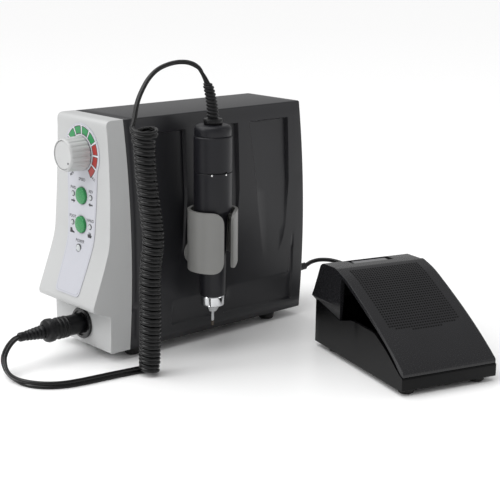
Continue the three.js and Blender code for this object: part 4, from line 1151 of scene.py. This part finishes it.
# the treadle's copy of the same black ABS, its colour painted lighter as painted light on its upward face
abs_black_painted_lit = moulded(
    "abs_black_painted_lit", "#19191B", "#202022", 0.24, 0.07, 26, 0.8, 0.003, IOR=1.54, Specular_IOR_Level=0.3
)
tub_side = rounded(
    [
        (0, 3.5), (L, 3.5, 1.2), (L, 12.6, 1.5), (113, 14.2, 1.5), (96, 25.7, 5), (81, 33.3, 3),
        (52, 33.6, 4), (34.5, 28.6, 2), (0, 35.6),
    ],
    4,
)
tub = slab(tub_side, 0, W, "xz")
slice_at(tub, (1, 0, 0), [(s, 0, 0) for s in range(8, 114, 8)])
upright_edges = [
    e for e in tub.edges
    if len(e.link_faces) == 2 and e.calc_face_angle(0) > 1.2
    and abs(e.verts[0].co.x - e.verts[1].co.x) < 0.01 and abs(e.verts[0].co.y - e.verts[1].co.y) < 0.01
]
soften(tub, upright_edges, 2.2, 4)


def oblong(x0, y0, x1, y1, radius, steps=3):
    """The outline of a rectangle with rounded corners."""
    return rounded([(x0, y0, radius), (x1, y0, radius), (x1, y1, radius), (x0, y1, radius)], steps)


TUB_WALL = 2.2
well = slab(oblong(TUB_WALL, TUB_WALL, L - TUB_WALL, W - TUB_WALL, 2), 0, 60, "xy")
entry = turned([(0, -6), (2.95, -6), (2.95, 8), (0, 8)], 24, "x", (0, GLAND_W, GLAND_Z))
tub = cut_away(tub, well, entry)
# the tub takes the darker copy of the black ABS: painted shade
tub_piece = piece_of(
    "pedal_tub", tub, abs_black_painted_shade, "control_box", "pedal_base", sharp=30, placed=PEDAL
)
ease_edges(tub_piece, 0.5, 2, 50)

SKIRT = 2.4  # how far the hood's skirt flares out past the tub
hood_side = rounded(
    [
        (0.2, 34.9, 0.6), (-SKIRT, 38.2, 1), (-1.1, 43.6, 0.8), (3.6, 61.0, 1.6), (5.4, 63.2, 1.2),
        (26.3, 64.2, 1.6), (34, 61.2), (34, 27.6), (33, 27.6),
    ],
    4,
)
hood = slab(hood_side, -6, W + 6, "xz")
flank = [(0.5, 20), (0.2, 34.9), (-SKIRT, 38.2), (-1.1, 43.6), (0.9, 61.6), (2.0, 63.6), (2.6, 64.5)]
slice_at(hood, (0, 0, 1), [(0, 0, z) for z in (30, 34.9, 38.2, 43.6, 50, 56, 61.6)])
for v in hood.verts:
    z = max(20, min(64, v.co.z))
    for (u0, z0), (u1, z1) in zip(flank, flank[1:]):
        if z0 <= z <= z1:
            edge = u0 + (u1 - u0) * (z - z0) / (z1 - z0)
    merged = clamp(v.co.x / 34)  # its flare runs out towards the plate
    edge = edge * (1 - merged * (1 if z < 43.6 else 0.3)) + 0.4 * merged
    v.co.y = edge if v.co.y < W / 2 else W - edge
plate_line = rounded(
    [
        (24, 64.1), (26.3, 64.2, 1.5), (40, 60.6, 7), (61, 50.3, 14), (81, 39.6, 10), (96, 30.6, 9),
        (107.5, 23, 10), (L + 0.2, 15.9, 1.6), (L - 0.2, 13.0, 0.4), (L - 3, 13.4), (106, 20.7, 8),
        (95, 28.6, 8), (80, 37.3, 8), (60, 47.5, 12), (39.5, 57.6, 8), (26, 61.6, 1), (24, 61.6),
    ],
    4,
)
plate = slab(plate_line, 0.6, W - 0.6, "xz")
hood_hollow = slab(
    rounded([(1.6, 20), (1.2, 43), (5.8, 60.4, 1.5), (26.3, 61.6, 1), (40, 56.5), (40, 20)], 3),
    2.1, W - 2.1, "xz",
)
for v in hood_hollow.verts:
    inset = 0.12 * max(0, v.co.z - 44)
    v.co.y += inset if v.co.y < W / 2 else -inset
label_recess = slab(oblong(6.2, 20.4, 16.4, 54.8, 0.6), 62.2, 70, "xy")
hood = cut_away(cut_away(hood, hood_hollow), label_recess)
# the hood and plate take the lighter copy of the black ABS: painted light
hood_piece = piece_of("treadle_hood", hood, abs_black_painted_lit, "treadle", sharp=30, placed=PEDAL)
plate_piece = piece_of(
    "treadle_plate", plate, abs_black_painted_lit, "treadle", "treadle", sharp=30, placed=PEDAL
)
ease_edges(hood_piece, 0.7, 3, 40)
ease_edges(plate_piece, 1.1, 3, 40)


def plate_top(s):
    """Height of the treadle's upper face."""
    face = [p for p in plate_line[: len(plate_line) // 2 + 4] if 24 <= p.x <= L]
    for a, b in zip(face, face[1:]):
        if a.x <= s <= b.x:
            return a.y + (b.y - a.y) * (s - a.x) / max(1e-6, b.x - a.x)
    return face[-1].y


DOT, DOT_PITCH, FIRST_S, FIRST_W = 0.74, 2.05, 31, 9.8
one_dot = bmesh.new()
bmesh.ops.create_uvsphere(one_dot, u_segments=6, v_segments=4, radius=DOT)
cut_flat(one_dot, (0, 0, 0), (0, 0, -1))
dot_mesh = bpy.data.meshes.new("dot")
one_dot.to_mesh(dot_mesh)
one_dot.free()
grip = bmesh.new()
for row in range(30):
    s = FIRST_S + row * DOT_PITCH
    for column in range(28):
        w = FIRST_W + column * DOT_PITCH
        if s > 89 - 3.5 * ((w - W / 2) / 28) ** 2:  # the field's low edge is curved
            continue
        slope = math.atan2(plate_top(s + 0.5) - plate_top(s - 0.5), 1)
        start = len(grip.verts)
        grip.from_mesh(dot_mesh)
        grip.verts.ensure_lookup_table()
        bmesh.ops.transform(
            grip, verts=grip.verts[start:],
            matrix=Matrix.Translation((s, w, plate_top(s) - 0.06)) @ Matrix.Rotation(-slope, 4, "Y")
            @ Matrix.Diagonal((1, 1, 0.75, 1)),
        )
bpy.data.meshes.remove(dot_mesh)
# the dots are the treadle's own moulding with a matt finish; their colour is painted near black as painted
# shade, so they stand out darker than the field
abs_dots_painted_shade = moulded(
    "abs_dots_painted_shade", "#040404", "#080808", 0.6, 0.06, 8, 0.4, 0.004, IOR=1.54, Specular_IOR_Level=0.12
)
piece_of("treadle_grip_dots", grip, abs_dots_painted_shade, "treadle", sharp=60, placed=PEDAL)
# brushed aluminium label, left blank
aluminium_plate = bright_steel("anodised_label", "#9A9A9C", "#ACACAE", 0.34, 0.5)
label = slab(oblong(8.6, 23.5, 14.2, 51.7, 0.5), 62.1, 62.9, "xy")
piece_of("hood_label", label, aluminium_plate, "treadle", "pedal_nameplate", placed=PEDAL)
for n, (s, w) in enumerate(((18, 8.2), (18, W - 8.2), (L - 7.5, 8.2), (L - 7.5, W - 11)), 1):
    pad = turned([(0, 0), (4.3, 0), (5.1, 0.5), (5.5, 1.4), (5.6, 3.4), (0, 3.4)], 36, "z", (s, w, 0))
    name = "pedal_foot_rubber_%d" % n
    piece_of(name, pad, rubber_black, "control_box", "pedal_foot_%d" % n, placed=PEDAL)
SPRING_S, SPRING_LOW, SPRING_HIGH, SPRING_R, WIRE = 46, 5.8, 49.8, 5.3, 0.6
SPRING_STEPS = 8 * 20  # eight turns
spring_line = []
for i in range(SPRING_STEPS + 1):
    angle = 2 * math.pi * i / 20
    height = SPRING_LOW + WIRE + (SPRING_HIGH - SPRING_LOW - 2 * WIRE) * i / SPRING_STEPS
    spring_line.append(pedal_turn @ Vector((
        SPRING_S + SPRING_R * math.cos(angle), W / 2 + SPRING_R * math.sin(angle), height,
    )))
wire = [(WIRE * math.cos(math.radians(60 * i)), WIRE * math.sin(math.radians(60 * i))) for i in range(6)]
spring = tube("pedal_spring_wire", spring_line, wire, [Vector((0, 0, 1))] * len(spring_line), steel)
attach(spring, "control_box")
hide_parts("pedal_spring")
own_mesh(spring)

# ---------------------------------------------------------------- the pedal lead's plug and gland
# The moulded jack plug behind the box, and the rubber gland in the back of the pedal.
rear_face = REAR_Y + REAR_BOW * 0.43  # the back is bowed, less so at this height


def sleeved(radius, start, taper, pitch):
    """The profile of a moulded strain relief with four grooves."""
    return [(radius - taper * i - (0.45 if i % 2 else 0), start + i * pitch) for i in range(9)]


jack = turned(
    [
        (0, rear_face - 7), (3.2, rear_face - 7), (3.2, rear_face + 0.3), (5.4, rear_face + 0.3),
        (5.4, rear_face + 1.2), (4.9, rear_face + 1.6), (4.9, 104), (4.6, 106), (3.9, 107.6),
        *sleeved(3.9, 108, 0.1, 1.25), (2.9, 119.8), (2.9, 122.4), (2.2, 123), (0, 123),
    ],
    36, "y", (0, 0, 26),
)
jack_piece = piece_of(
    "pedal_jack_plug", jack, pvc_satin_black, "control_box", "pedal_plug", sharp=40
)
gland = turned(
    [
        (0, -7), (2.75, -7), (2.75, -0.2), (4.2, -0.2), (4.2, 1.6), (3.4, 2.2), *sleeved(3.1, 3, 0.08, 1.2),
        (2.2, 13.6), (0, 13.8),
    ],
    32, "x",
)
gland.transform(Matrix.Translation((0, GLAND_W, GLAND_Z)) @ Matrix.Rotation(math.pi, 4, "Z"))
piece_of(
    "pedal_gland_rubber", gland, rubber_black, "control_box", "pedal_gland", sharp=40, placed=PEDAL
)

# ---------------------------------------------------------------- sockets on the back, and the inside
# Bought-in parts in black PBT: mains inlet, rocker switch and fuse cap. Inside are the board, the
# transformer and the motor; they keep their plain shapes and get the finish of the real ones.
# solder mask over the board's copper
board_green = moulded("solder_resist_green", "#1D5B38", "#256B43", 0.3, 0.08, 4, 0.5, 0.01)
# enamelled winding wire, and the dark laminations that it is wound on
copper = bright_steel("enamelled_copper", "#8C4A26", "#B0673A", 0.3, 0.35)
core_steel = bright_steel("core_laminations", "#4A4C4F", "#66686B", 0.45, 0.5)
for node, material in {
    "mains_inlet": pbt_gloss_black, "switch_frame": pbt_gloss_black, "power_rocker": pbt_gloss_black,
    "fuse_cap": pvc_satin_black, "base_plate": abs_satin_black, "pedal_bottom": abs_black_painted_shade,
    "pedal_switch": pvc_satin_black, "hinge_pin": steel, "speed_pot": steel,
    "spindle": steel, "front_bearing": steel, "rear_bearing": steel, "motor_can": core_steel,
    "motor_rotor": copper, "transformer_core": core_steel, "transformer_winding": copper,
    "control_board": board_green,
}.items():
    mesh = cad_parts[node].data
    mesh.materials.clear()
    mesh.materials.append(material)
pins = bmesh.new()
for x, z in ((-19.5, 130), (-13, 134.4), (-6.5, 130)):
    join_into(pins, slab(oblong(x - 0.9, z - 2.4, x + 0.9, z + 2.4, 0.4, 2), 74, 83.5, "xz"), 0)
piece_of("inlet_pins", pins, steel, "control_box")
